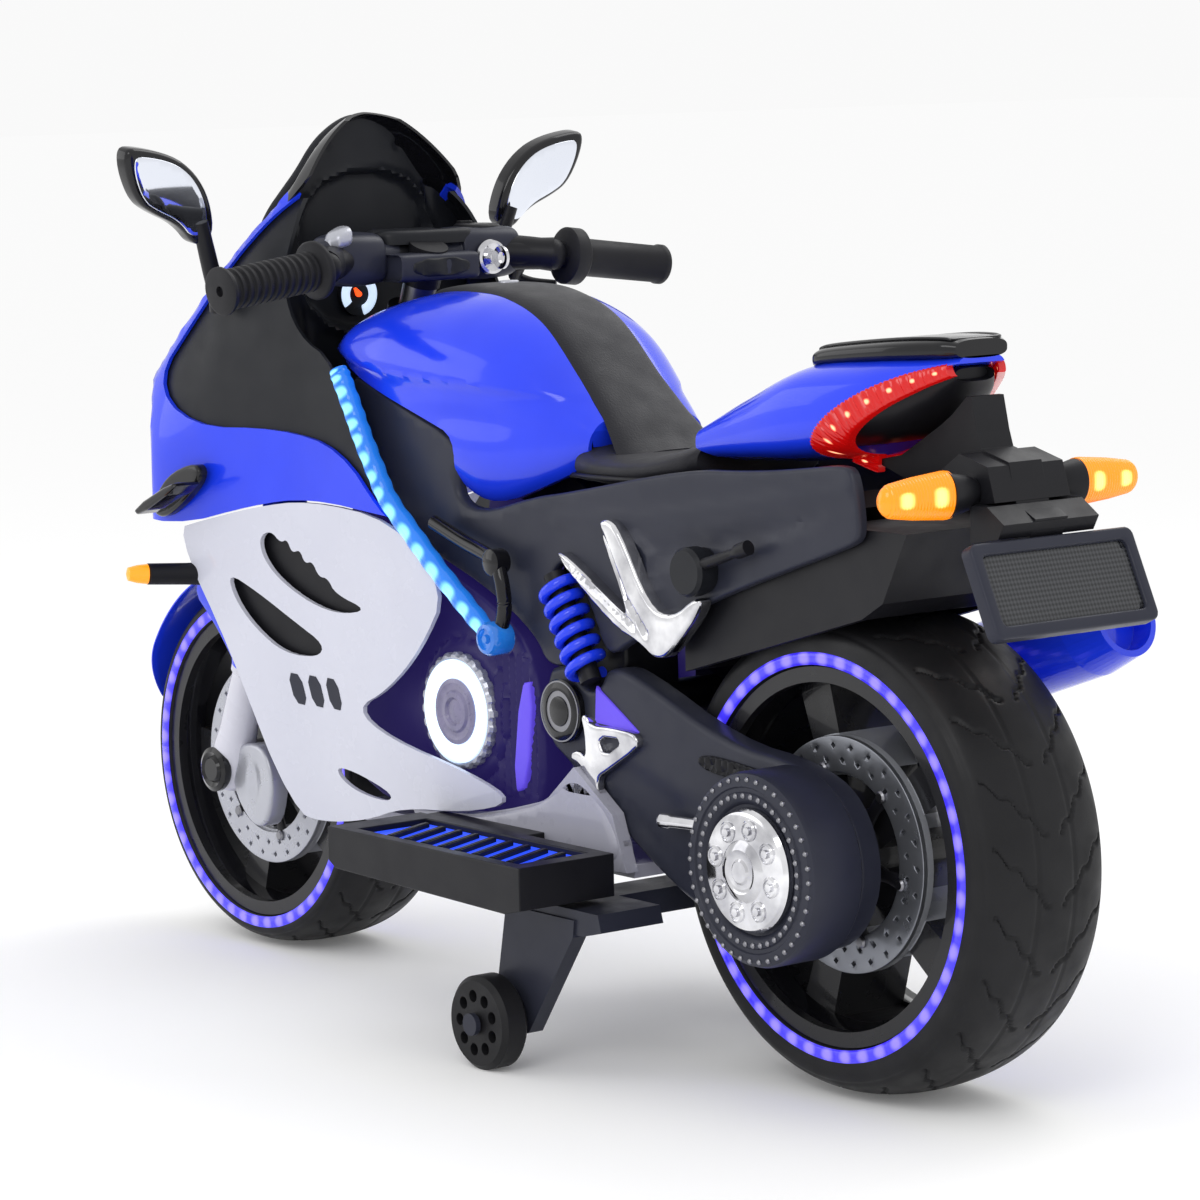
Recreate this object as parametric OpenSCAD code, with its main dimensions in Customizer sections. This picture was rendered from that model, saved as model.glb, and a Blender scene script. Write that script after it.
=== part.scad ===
// Child's battery ride-on motorcycle in a racing style, with stabiliser wheels.
// +X points forward, +Y to the rider's left, +Z up; the ground is at z = 0.

/* [Wheels] */
// Distance between the two axles
wheelbase = 804; // [780:1:830]
// Rear tyre radius
rear_r = 190; // [188:1:192]
// Front tyre radius
front_r = 167; // [165:1:169]
// Half of the rear tyre's width
rear_half_w = 64; // [60:1:65]
// Half of the front tyre's width
front_half_w = 56; // [50:1:57]
// Stabiliser wheel radius
helper_r = 38; // [34:1:38]

/* [Steering] */
// Steering head angle from the vertical
rake = 22; // [20:0.5:24]
// Distance of the front axle ahead of the steering axis
fork_offset = 25; // [22:1:28]
// Half of the distance between the fork legs
fork_half_gap = 77; // [75:1:79]
// Handlebar tube radius
bar_r = 11; // [10:0.5:12]
// Grip radius
grip_r = 16.5; // [15:0.5:17.5]

/* [Bodywork] */
// Wall thickness of the moulded shells
wall = 4; // [3:0.5:5]
// Half of the footboards' overall width
board_half_w = 222; // [210:1:225]
// Height of the footboards' top face
board_top = 178; // [170:1:180]

/* [Fits] */
// Radial running clearance of every wheel, stem, grip and button
run_gap = 0.05; // [0.02:0.01:0.1]
// Seam left between neighbouring panels
seam = 0.6; // [0.4:0.1:1]

/* [Hidden] */
$fn = 64;
blue = [0.05, 0.13, 0.72];
pearl = [0.86, 0.86, 0.90];
black = [0.05, 0.05, 0.06];
charcoal = [0.16, 0.17, 0.20];
silver = [0.76, 0.77, 0.80];
amber = [1.0, 0.55, 0.05];
red = [0.8, 0.05, 0.05];
glow = [0.45, 0.45, 1.0];

origin_x = -379;                    // rear axle, seen from the middle of the overall length
axle_r = 8;                         // both main axles
stem_r = 15;                        // steering stem
pin_r = 5;                          // stabiliser wheel pins
pivot = [286, 276];                 // swingarm pivot, as x and z from the rear axle's foot
hub_r = 75;                         // chain-side drum
lamp_disc = [426, 261];             // engine lamp centre
stem_foot = [wheelbase - fork_offset * cos(rake), 0, front_r - fork_offset * sin(rake)];
crown_s = 300;                      // fork crown, measured along the stem from its foot
head_s = [326, 460];                // lower and upper end of the steering head
clamp_s = 500;                      // handlebar clamp
grip_in = [567, 120, 626];          // inner end of the left grip
grip_out = [558, 234, 612];         // outer end of the left grip
bend = [606, 70, 630];              // left bend of the handlebar
knuckle_r = bar_r + 2.5;            // rounded joints of the handlebar
plate_tilt = 25;                    // number plate, from the vertical
spring_top = [289, 94, 378];        // upper end of the left spring
spring_foot = [252, 94, 312];       // lower end of the left spring

// ---------------------------------------------------------------- helpers

// Moves a shape drawn from the rear axle's foot to the model's origin
module placed() translate([origin_x, 0, 0]) children();

// Draws the children once on each side
module both_sides() {
    children();
    mirror([0, 1, 0]) children();
}

// Flat outline given as x and z, made solid between two distances from the middle
module slab(outline, y0, y1) {
    translate([0, y1, 0]) rotate([90, 0, 0]) linear_extrude(y1 - y0) polygon(outline);
}

// Cylinder lying across the vehicle
module across(r, y0, y1, x = 0, z = 0) {
    translate([x, y0, z]) rotate([-90, 0, 0]) cylinder(r = r, h = y1 - y0);
}

// Profile of radius and distance, turned about an axis lying across the vehicle
module spun(profile, x = 0, z = 0) {
    translate([x, 0, z]) rotate([-90, 0, 0]) rotate_extrude($fn = 96) polygon(profile);
}

// Round bar from one point to another
module rod(a, b, r, r2 = undef) {
    d = b - a;
    len = norm(d);
    translate(a) rotate([0, acos(d[2] / len), atan2(d[1], d[0])])
        cylinder(r1 = r, r2 = is_undef(r2) ? r : r2, h = len);
}

// Profile of radius and distance, turned about the line from one point towards another
module turned(a, b, profile) {
    d = b - a;
    translate(a) rotate([0, acos(d[2] / norm(d)), atan2(d[1], d[0])]) rotate_extrude() polygon(profile);
}

// Shape drawn along the steering stem, z being the distance up the stem
module on_stem() translate(stem_foot) rotate([0, -rake, 0]) children();

// One closed ring of a body section: x, half width, lowest z, highest z, squareness
function ring(s, inset, n = 40) = [for (i = [0 : n - 1])
    let (a = 360 * i / n, c = cos(a), v = sin(a), p = 2 / s[4],
        w = s[1] - inset, h = (s[3] - s[2]) / 2 - inset)
    [s[0], w * sign(c) * pow(abs(c), p), (s[3] + s[2]) / 2 + h * sign(v) * pow(abs(v), p)]];

// Solid through a row of sections, each shrunk by inset
module loft(sections, inset = 0, n = 40) {
    m = len(sections);
    points = [for (s = sections) each ring(s, inset, n)];
    sides = [for (k = [0 : m - 2]) for (i = [0 : n - 1])
        let (a = k * n + i, b = k * n + (i + 1) % n)
        each [[a, b, b + n], [a, b + n, a + n]]];
    front = [for (i = [0 : n - 1]) n - 1 - i];
    back = [for (i = [0 : n - 1]) (m - 1) * n + i];
    polyhedron(points, concat(sides, [front, back]), convexity = 8);
}

// The same sections with the first and last moved inwards by one wall
function capped(sections) = let (last = len(sections) - 1) [for (i = [0 : last])
    let (s = sections[i]) [s[0] + (i == 0 ? -wall : i == last ? wall : 0), s[1], s[2], s[3], s[4]]];

// Moulded shell: the solid through the sections, less the same solid one wall smaller
module shell(sections) {
    difference() {
        loft(sections);
        loft(capped(sections), wall);
    }
}

// ---------------------------------------------------------------- outlines, as x and z

// Body surfaces from front to back, each section as x, half width, lowest z, highest z, squareness
body = [[930, 60, 425, 520, 2.2], [900, 98, 405, 566, 2.2], [850, 136, 350, 622, 2.3],
    [800, 152, 230, 668, 2.4], [745, 148, 120, 705, 2.6], [690, 138, 70, 700, 3], [600, 124, 60, 660, 3.6],
    [500, 118, 60, 640, 4], [320, 108, 60, 640, 4]];

cowl_side = [[510, 425], [555, 470], [635, 487], [747, 483], [804, 523], [760, 570], [641, 698],
    [650, 720], [760, 715], [860, 640], [945, 520], [945, 430], [900, 405], [768, 394], [669, 419],
    [600, 429], [502, 417]];
fairing_side = [[768, 392], [735, 401], [669, 417], [600, 427], [494, 407], [427, 352], [453, 311],
    [498, 273], [543, 253], [500, 232], [393, 214], [339, 196], [400, 180], [487, 174], [540, 156],
    [608, 146], [642, 152], [702, 288]];
upper_slot = [[662, 392], [648, 398], [628, 390], [622, 380], [606, 378], [598, 366], [580, 362],
    [570, 352], [521, 339], [560, 332], [600, 338], [640, 356], [660, 376]];
lower_slot = [[703, 358], [668, 344], [620, 320], [583, 304], [592, 292], [636, 292], [672, 312], [696, 336]];
foot_slot = [[574, 200], [540, 196], [498, 184], [506, 176], [548, 180], [572, 190]];

tank = [[612, 84, 530, 568, 2.6], [575, 100, 505, 590, 2.6], [525, 106, 470, 603, 2.6],
    [470, 105, 440, 607, 2.6], [420, 101, 418, 603, 2.6], [370, 92, 425, 584, 2.6], [320, 76, 446, 540, 2.6],
    [288, 60, 470, 512, 2.6]];
tank_side = [[612, 556], [575, 535], [520, 518], [470, 503], [424, 489], [438, 448], [405, 431], [329, 456],
    [284, 478], [284, 620], [620, 620]];
seat_shape = [[338, 46, 452, 500, 2.6], [310, 60, 454, 492, 2.8], [265, 74, 456, 484, 3], [205, 78, 458, 486, 3],
    [160, 72, 462, 496, 3], [146, 64, 466, 500, 3]];
tail = [[145, 66, 484, 516, 3], [90, 72, 486, 542, 3], [30, 74, 490, 566, 3], [-40, 64, 502, 574, 3],
    [-85, 44, 528, 576, 3], [-112, 24, 552, 577, 3]];
pad = [[36, 38, 560, 572, 3], [20, 46, 562, 580, 3], [-50, 46, 568, 588, 3], [-95, 36, 572, 590, 3],
    [-112, 26, 574, 588, 3]];
screen = [[862, 38, 540, 626, 2.6], [810, 66, 540, 684, 2.6], [750, 84, 540, 734, 2.6],
    [690, 92, 540, 757, 2.6], [620, 88, 540, 752, 2.6]];
screen_side = [[642, 678], [650, 712], [678, 764], [900, 764], [900, 590], [700, 590]];
side_cover = [[600, 541], [540, 452], [505, 398], [400, 368], [330, 332], [316, 308], [240, 318], [205, 340],
    [120, 374], [60, 396], [-70, 440], [-58, 489], [60, 484], [135, 481], [288, 452], [330, 446],
    [406, 427], [442, 446], [430, 484], [523, 512]];
engine_side = [[596, 210], [560, 166], [340, 166], [320, 200], [320, 262], [336, 326], [400, 360], [500, 390],
    [560, 436], [592, 436]];
arm_side = [[314, 306], [318, 250], [286, 232], [205, 176], [110, 128], [0, 115], [-52, 136], [-75, 190],
    [-52, 244], [0, 265], [90, 272], [200, 314], [250, 316]];

// ---------------------------------------------------------------- chassis

// Steering head, spine, down tube and the cross tube that carries the swingarm
module main_frame() color(charcoal) placed() {
    difference() {
        union() {
            on_stem() translate([0, 0, head_s[0]]) cylinder(r = 24, h = head_s[1] - head_s[0]);
            slab([[652, 480], [616, 566], [570, 562], [330, 440], [60, 448], [16, 466], [8, 454], [40, 428],
                [284, 412], [280, 262], [300, 262], [314, 400], [540, 462], [604, 452], [600, 166], [618, 166],
                [622, 340], [634, 462]], -22, 22);
            across(14, -64, 64, pivot[0], pivot[1]);
        }
        on_stem() translate([0, 0, head_s[0] - 20])
            cylinder(r = stem_r + run_gap, h = head_s[1] - head_s[0] + 60);
        across(6, -70, 70, pivot[0], pivot[1]);
    }
}

// 12 V battery in the engine bay
module battery_pack() color(charcoal) placed() {
    translate([400, -47, 232]) cube([151, 94, 60]);
    for (y = [-30, 30]) translate([420, y, 291]) cylinder(r = 5, h = 8);
}

// Receiver and speed controller above the battery
module control_box() color(black) placed() {
    translate([410, -40, 306]) cube([90, 80, 28]);
    for (y = [-24, 0, 24]) translate([498, y - 7, 312]) cube([10, 14, 12]);
}

// Motor beside the wheel, inside the drum
module drive_motor() color(silver) placed() {
    rod([-34, 117, 158], [26, 117, 158], 11.5);
    rod([26, 117, 158], [36, 117, 158], 4);
}

// Reduction gear housing between the swingarm and the motor
module gearbox() color(charcoal) placed() {
    difference() {
        union() {
            across(62, 91, 103, 0, rear_r);
            across(26, 103, 112, 0, rear_r + 20);
        }
        across(axle_r + 0.5, 90, 113, 0, rear_r);
    }
}

// Grey under-tray with an upswept wing on each side
module belly_pan() color(pearl) placed() {
    slab([[200, 150], [596, 150], [604, 162], [196, 162]], -92, 92);
    both_sides() slab([[345, 190], [300, 202], [262, 234], [213, 201], [196, 156], [330, 150], [470, 150],
        [486, 172], [400, 178]], 90.4, 103);
}

// Moulded engine: two finned halves in one hollow block, open underneath
module engine_block() color(charcoal) placed() {
    difference() {
        union() {
            slab(engine_side, -86, 86);
            both_sides() {
                across(58, 86, 92, lamp_disc[0], lamp_disc[1]);
                for (i = [0 : 4]) translate([338 + 9 * i, 86, 200]) cube([4, 4, 110]);
            }
        }
        translate([392, -76, 160]) cube([170, 152, 180]);
    }
}

// Round lamp on each side of the engine
module engine_lamps() color(glow) placed() both_sides() spun([[0, 92.3], [47, 92.3], [47, 97], [41, 101],
    [26, 101], [24, 98], [14, 98], [12, 101], [0, 101]], lamp_disc[0], lamp_disc[1]);

// Glowing tube down each flank, with its end boss
module lamp_strips() color([0.2, 0.6, 1]) placed() both_sides() {
    run = [[556, 114.5, 530], [534, 111, 484], [498, 111, 433], [430, 111, 380], [356, 111, 330]];
    for (i = [0 : len(run) - 2]) {
        rod(run[i], run[i + 1], 9.5);
        translate(run[i]) sphere(r = 11);
    }
    across(16, 98, 124, 356, 330);
}

// Round recess that a spring sits in
module spring_well() rod(spring_foot + (spring_foot - spring_top) * 0.3,
    spring_top + (spring_top - spring_foot) * 0.3, 19.4);

// Left arm: beam from the pivot to the drum
module swingarm_left() color(charcoal) placed() difference() {
    slab(arm_side, 68, 90);
    spring_well();
    across(axle_r, 60, 100, 0, rear_r);
    across(6, 60, 100, pivot[0], pivot[1]);
}

// Right arm, a plain beam ending in a rounded axle plate
module swingarm_right() color(charcoal) placed() mirror([0, 1, 0]) difference() {
    union() {
        slab([[314, 306], [318, 250], [286, 232], [205, 176], [110, 150], [0, 155], [-30, 176], [-30, 210],
            [0, 230], [90, 262], [200, 314], [250, 316]], 68, 88);
        across(36, 68, 88, 0, rear_r);
    }
    spring_well();
    across(axle_r, 60, 100, 0, rear_r);
    across(6, 60, 100, pivot[0], pivot[1]);
}

// Rear axle with its nuts, and the pivot bolt with its round caps
module rear_axle() color(silver) placed() {
    across(axle_r, -98, 90, 0, rear_r);
    across(14, -98, -88.3, 0, rear_r);
    across(6, -90, 90, pivot[0], pivot[1]);
    both_sides() across(25, 90.3, 98, pivot[0], pivot[1]);
}

// Drum over the gearbox with its ring of studs
module hub_cover() color(black) placed() {
    difference() {
        spun([[0, 90.3], [hub_r, 90.3], [hub_r, 136], [hub_r - 4, 140], [52, 140], [50, 134], [0, 134]],
            0, rear_r);
        spun([[0, 80], [hub_r - wall, 80], [hub_r - wall, 134 - wall], [0, 134 - wall]], 0, rear_r);
    }
    for (i = [0 : 35]) across(2, 139, 142, (hub_r - 8) * cos(10 * i), rear_r + (hub_r - 8) * sin(10 * i));
}

// Bright disc in the middle of the drum with eight bolt heads
module hub_disc() color(silver) placed() {
    spun([[0, 134.3], [46, 134.3], [47, 141], [42, 145], [20, 146], [14, 150], [0, 150]], 0, rear_r);
    for (i = [0 : 7]) across(6, 143, 149, 32 * cos(45 * i), rear_r + 32 * sin(45 * i));
}

// Moulded coil springs, one on each side
module shock_springs() color(blue) placed() both_sides() {
    axis = spring_top - spring_foot;
    rod(spring_top, spring_foot, 10.2);
    for (i = [0 : 5]) translate(spring_foot + axis * (i + 0.5) / 6)
        rotate([0, atan2(axis[0], axis[2]), 0])
            rotate_extrude($fn = 48) translate([14, 0]) circle(r = 4.4, $fn = 16);
}

// Bright Y-shaped hangers behind the springs
module footrest_hangers() color(silver) placed() both_sides()
    slab([[290, 404], [276, 406], [206, 366], [192, 362], [232, 432], [220, 438], [204, 430], [168, 372],
        [138, 366], [108, 386], [100, 378], [142, 336], [160, 330], [180, 342], [214, 352]], 87, 99);

// Bright gear lever with its triangular plate and a peg
module gear_lever() color(silver) placed() {
    difference() {
        slab([[252, 270], [244, 272], [228, 240], [186, 262], [182, 256], [222, 226], [236, 218],
            [244, 223], [240, 236]], 91, 97);
        slab([[230, 246], [206, 256], [226, 242]], 90, 98);
    }
    across(5, 90.2, 104, 160, 204);
}

// Left footboard: shallow tray with raised ribs
module footboard(side) placed() scale([1, side, 1]) {
    difference() {
        slab([[440, 150], [440, board_top], [179, board_top], [179, 144], [200, 139], [430, 144]],
            128, board_half_w);
        translate([196, 142, board_top - 6]) cube([216, board_half_w - 154, 8]);
    }
    for (i = [0 : 8]) translate([212 + 23 * i, 150, board_top - 7]) rotate([0, 0, 25]) cube([7, 60, 6]);
    slab([[440, 150], [440, 176], [300, 176], [300, 150]], 104.3, 129);
}
module footboard_left() color(black) footboard(1);
module footboard_right() color(black) footboard(-1);

// Cross beam under the tray with the two stabiliser legs and their pins
module stabiliser_bar() color(charcoal) placed() {
    translate([202, -150, 118]) cube([42, 300, 20]);
    both_sides() {
        slab([[246, 118], [246, 138], [150, 138], [146, 124], [170, 118]], 106, 168);
        slab([[267, 130], [178, 130], [180, 116], [240, 30], [262, 24], [282, 30], [284, 46]], 156, 170);
        across(pin_r, 164, 205, 268, helper_r);
        across(9, 203.3, 208, 268, helper_r);
    }
}

// Pearl side panel with its three slots and the notch that shows the engine
module side_fairing(side) placed() scale([1, side, 1]) difference() {
    intersection() {
        shell(body);
        slab(fairing_side, 60, 170);
    }
    for (s = [upper_slot, lower_slot, foot_slot]) slab(s, 60, 180);
}
module side_fairing_left() color(pearl) side_fairing(1);
module side_fairing_right() color(pearl) side_fairing(-1);

// Blue nose, open towards the rider, with two lamp openings
module front_cowl() color(blue) placed() difference() {
    intersection() {
        shell(body);
        slab(cowl_side, -170, 170);
    }
    both_sides() lamp_opening(0);
}

// Slanted headlamp outline, pushed through the nose
module lamp_opening(inset) translate([820, 0, 0]) rotate([90, 0, 90]) linear_extrude(140)
    offset(delta = -inset) polygon([[26, 470], [60, 468], [104, 512], [112, 540], [70, 520], [30, 496]]);

// Clear lenses filling the lamp openings
module headlamps() color(silver) placed() both_sides() intersection() {
    shell(body);
    lamp_opening(seam);
}

// Dark cockpit liner: two side panels and the wall in front of the dash
module inner_cowl() color(black) placed() intersection() {
    loft(body, wall + seam);
    union() {
        both_sides() slab([[602, 552], [562, 482], [640, 490], [745, 486], [786, 521], [726, 604],
            [690, 640], [690, 590], [640, 572]], 99, 112);
        slab([[690, 556], [700, 556], [700, 694], [690, 694]], -84, 84);
        slab([[690, 556], [700, 556], [760, 486], [750, 482]], -100, 100);
    }
}

// Glowing dial on the cockpit wall
module gauge() color([0.9, 0.95, 1]) placed() translate([689.7, 8, 594]) rotate([0, -90, 0])
    difference() {
        cylinder(r = 19, h = 7);
        translate([0, 0, 5]) cylinder(r = 13, h = 3);
    }

// Dark bubble screen standing on the nose
module windscreen() color(black) placed() difference() {
    intersection() {
        shell(screen);
        slab(screen_side, -100, 100);
    }
    loft(body, -0.5);
}

// Small black wings under the nose
module winglets() color(black) placed() both_sides() {
    slab([[794, 409], [770, 440], [719, 456], [712, 440], [752, 412], [780, 400]], 150.5, 160);
    slab([[786, 412], [720, 440], [716, 434], [780, 404]], 160, 184);
}

// Front direction lamps on short arms
module front_indicators() color(charcoal) placed() both_sides() {
    turned([752, 151.6, 354], [766, 206, 357], [[0, 0], [10, 0], [8, 46], [5, 56], [0, 56]]);
}

// Blue tank shell with its forward horns
module tank_cover() color(blue) placed() difference() {
    intersection() {
        shell(tank);
        slab(tank_side, -120, 120);
    }
    on_stem() translate([0, 0, 380]) cylinder(r = 56, h = 120);
    translate([500, -34, 500]) cube([140, 68, 120]);
}

// Black strip that runs over the middle of the tank to the seat
module tank_strip() color(black) placed() difference() {
    intersection() {
        difference() {
            loft(tank, -4);
            loft(tank, -0.3);
        }
        translate([326, -41, 484]) cube([204, 82, 146]);
    }
    on_stem() translate([0, 0, 380]) cylinder(r = 56, h = 120);
}

// Padded saddle
module seat() color(black) placed() difference() {
    loft(seat_shape);
    loft(tank, -4.3);
    translate([100, -23, 400]) cube([260, 46, 56]);
}

// Panel under the seat and tank, open where the spring stands in it
module cover(side) placed() scale([1, side, 1]) difference() {
    slab(side_cover, 80, 86);
    spring_well();
}
module side_cover_left() color(charcoal) cover(1);
module side_cover_right() color(charcoal) cover(-1);

// Blue tail, hollow, cut away below for the lamps
module tail_cowl() color(blue) placed() difference() {
    shell(tail);
    lamp_band(-0.4);
    loft(pad, -0.3);
}

// Region of the tail's lower rear edge that the lamps fill
module lamp_band(inset) both_sides() slab([[10 - inset, 480], [10 - inset, 506], [-50, 542 - inset],
    [-104, 571 - inset], [-130, 572 - inset], [-130, 480]], 17 + inset, 90);

// Black raised pad on the tail
module tail_pad() color(black) placed() loft(pad);

// Ribbed red lamps along the tail's rear edge
module tail_lamps() color(red) placed() intersection() {
    difference() {
        loft(tail, 0.2);
        loft(tail, 9);
    }
    lamp_band(0.4);
}

// Black underside of the tail with the stepped arm to the plate
module plate_bracket() color(black) placed() {
    slab([[-8, 492], [-40, 498], [-84, 523], [-96, 531], [-113, 546], [-118, 546], [-124, 520], [-128, 508], [-158, 500],
        [-166, 470], [-186, 460], [-180, 446], [-150, 440], [-120, 462], [-76, 470]], -16.5, 16.5);
    slab([[-80, 474], [-128, 506], [-158, 498], [-166, 472], [-120, 464]], -38, 38);
    slab([[-150, 470], [-168, 470], [-186, 458], [-180, 447], [-150, 442]], -48, 48);
}

// Blank number plate in its bevelled frame
module number_plate() color(charcoal) placed() translate([-194, 0, 413]) rotate([0, plate_tilt, 0])
    difference() {
        translate([-7, -82, -39]) cube([12, 164, 74]);
        translate([-8, -72, -29]) cube([4, 144, 54]);
    }

// Rear direction lamps: dark roots with amber lenses
module rear_indicators() color(amber) placed() both_sides() {
    turned([-144, 39, 479], [-141, 128, 477], [[0, 0], [9, 0], [16, 28], [17, 28], [12, 85], [9, 89], [0, 89]]);
}

// Inner mudguard over the rear tyre
module rear_mudguard() color(black) placed() difference() {
    slab([[150, 426], [60, 426], [-20, 448], [-112, 448], [-84, 394], [-60, 380], [150, 320]], -76, 76);
    across(rear_r + 7, -66, 66, 0, rear_r);
    translate([30, -23, 400]) cube([140, 46, 60]);
}

// Blue silencer with a bright hollow end on the right, and the pipe that leads to it
module muffler() color(blue) placed() {
    translate([90, -118, 290]) rotate([0, -71, 0]) rotate_extrude() polygon([[0, 0], [24, 0], [36, 30],
        [36, 210], [30, 246], [25, 246], [25, 226], [0, 226]]);
    rod([196, -112, 214], [88, -118, 291], 16, 22);
}

// Mirrors on their stalks
module mirrors() color(black) placed() both_sides() {
    translate([684, 0, 690]) rotate([0, -8, 0]) rotate([90, 0, 90]) translate([0, -690, 0]) linear_extrude(16)
            polygon([[150, 650], [156, 682], [172, 706], [196, 722], [236, 730], [245, 726], [242, 706], [230, 682],
                [214, 672], [186, 660], [168, 640]]);
    rod([688, 164, 660], [706, 139, 590], 7, 9);
}

// ---------------------------------------------------------------- steering

// Stem and fork crown
module steering_stem() color(silver) placed() on_stem() {
    translate([0, 0, crown_s]) cylinder(r = stem_r, h = clamp_s - crown_s - 16);
    difference() {
        translate([0, 0, crown_s]) linear_extrude(22) hull() {
            for (y = [-1, 1]) translate([fork_offset, y * fork_half_gap]) circle(r = 19, $fn = 32);
            translate([-4, 0]) circle(r = 22, $fn = 32);
        }
        for (y = [-1, 1]) translate([fork_offset, y * fork_half_gap, crown_s - 1]) cylinder(r = 14.2, h = 40);
    }
}

// Two fork legs with their feet, joined by the axle
module fork_legs() color(silver) placed() {
    on_stem() for (y = [-1, 1]) translate([fork_offset, y * fork_half_gap, 0]) {
        translate([0, 0, 10]) cylinder(r = 14, h = crown_s + 14);
        translate([0, 0, -14]) cylinder(r = 18, h = 84);
    }
    across(axle_r, -97, 97, wheelbase, front_r);
    both_sides() across(15, 90, 99, wheelbase, front_r);
    both_sides() slab([[wheelbase - 14, 190], [wheelbase - 60, 196], [wheelbase - 78, 166], [wheelbase - 66, 122],
        [wheelbase - 40, 118], [wheelbase - 10, 150]], 66, 84);
}

// Blue guard over the front tyre with a sleeve round each leg
module front_fender() color(blue) placed() {
    difference() {
        union() {
            translate([wheelbase, 0, front_r]) rotate([-90, 0, 0]) translate([0, 0, -62])
                rotate([0, 0, -126]) rotate_extrude(angle = 112, $fn = 96) translate([176, 0]) square([7, 124]);
            on_stem() for (y = [-1, 1]) translate([fork_offset, y * fork_half_gap, 96])
                cylinder(r = 20, h = 196);
        }
        on_stem() for (y = [-1, 1]) translate([fork_offset, y * fork_half_gap, 60])
            cylinder(r = 14.2, h = 260);
    }
    both_sides() difference() {
        slab([[wheelbase + 84, front_r + 158], [wheelbase - 10, front_r + 66],
            [wheelbase - 66, front_r + 96], [wheelbase - 72, front_r + 165]], 59.5, 63.5);
        on_stem() translate([fork_offset, fork_half_gap, 60]) cylinder(r = 14.2, h = 260);
    }
}

// Bent handlebar tube and its clamp
module handlebar() color(black) placed() {
    on_stem() translate([0, 0, clamp_s - 16]) cylinder(r = 17, h = 36);
    rod([bend[0], -bend[1], bend[2]], bend, bar_r);
    both_sides() {
        rod(bend, grip_in, bar_r);
        rod(grip_in, grip_out + (grip_in - grip_out) * 0.03, bar_r);
        translate(bend) sphere(r = knuckle_r);
        translate(grip_in) sphere(r = knuckle_r);
    }
}

// Dash housing round the handlebar clamp
module dash_pod() color(charcoal) placed() {
    difference() {
        union() {
            translate([0, 0, 606]) linear_extrude(46) polygon([[582, -92], [582, 92], [596, 102], [622, 98],
                [650, 60], [650, -60], [622, -98], [596, -102]]);
            translate([569, -36, 606]) cube([20, 72, 24]);
        }
        on_stem() translate([0, 0, clamp_s - 60]) cylinder(r = 17.3, h = 80.3);
        rod([bend[0], -bend[1], bend[2]], bend, bar_r + 0.3);
        both_sides() {
            rod(bend, grip_in, bar_r + 0.3);
            translate(bend) sphere(r = knuckle_r + 0.3);
        }
        horn_at() cylinder(r = 7 + run_gap, h = 20);
        key_at() cylinder(r = 6 + run_gap, h = 20);
    }
}

// Key switch on the rear face of the housing, right of the middle, its z pointing into the housing
module key_at() translate([588, -64, 626]) rotate([0, -90, 0]) children();

// Horn button on top of the housing, its z starting at the bottom of its well
module horn_at() translate([632, -72, 641]) children();

// Key: round barrel and its flat bow
module key() color(silver) placed() key_at() {
    translate([0, 0, 0.5]) cylinder(r = 6, h = 12);
    difference() {
        translate([0, 0, 20]) rotate([90, 0, 0]) cylinder(r = 10, h = 3, center = true);
        translate([0, 0, 22]) rotate([90, 0, 0]) cylinder(r = 5, h = 5, center = true);
    }
}

// Horn button, standing proud by its travel
module horn_button() color(black) placed() horn_at() translate([0, 0, 3]) cylinder(r = 7, h = 12);

// Ribbed left grip with a hexagonal flange
module grip_left() color(black) placed() difference() {
    union() {
        rod(grip_in + (grip_out - grip_in) * 0.08, grip_out, grip_r);
        for (i = [1 : 6]) let (d = (grip_out - grip_in) * (0.12 + 0.12 * i))
            rod(grip_in + d, grip_in + d + (grip_out - grip_in) * 0.04, grip_r + 1.4);
        rod(grip_in + (grip_out - grip_in) * 0.08, grip_in + (grip_out - grip_in) * 0.14, 24);
    }
    rod(grip_in, grip_out + (grip_in - grip_out) * 0.029, bar_r + 0.01);
}

// Twist grip on the right with its collar
module throttle_grip() color(black) placed() mirror([0, 1, 0]) difference() {
    union() {
        rod(grip_in + (grip_out - grip_in) * 0.08, grip_out, grip_r);
        rod(grip_in + (grip_out - grip_in) * 0.08, grip_in + (grip_out - grip_in) * 0.2, 25);
    }
    rod(grip_in, grip_out + (grip_in - grip_out) * 0.028, bar_r + run_gap);
}

// ---------------------------------------------------------------- wheels

// Tyre section: radius and distance across, crowned at the top
function tyre_profile(r, half, bead) = let (crown = (r - bead) * 0.6) concat(
    [[bead, -half + 4], [bead + 6, -half + 0.5]],
    [for (i = [0 : 16]) let (a = -90 + 180 * i / 16)
        [r - crown + crown * pow(max(cos(a), 0), 0.8), (half - 0.5) * sin(a)]],
    [[bead + 6, half - 0.5], [bead, half - 4]]);

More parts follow.
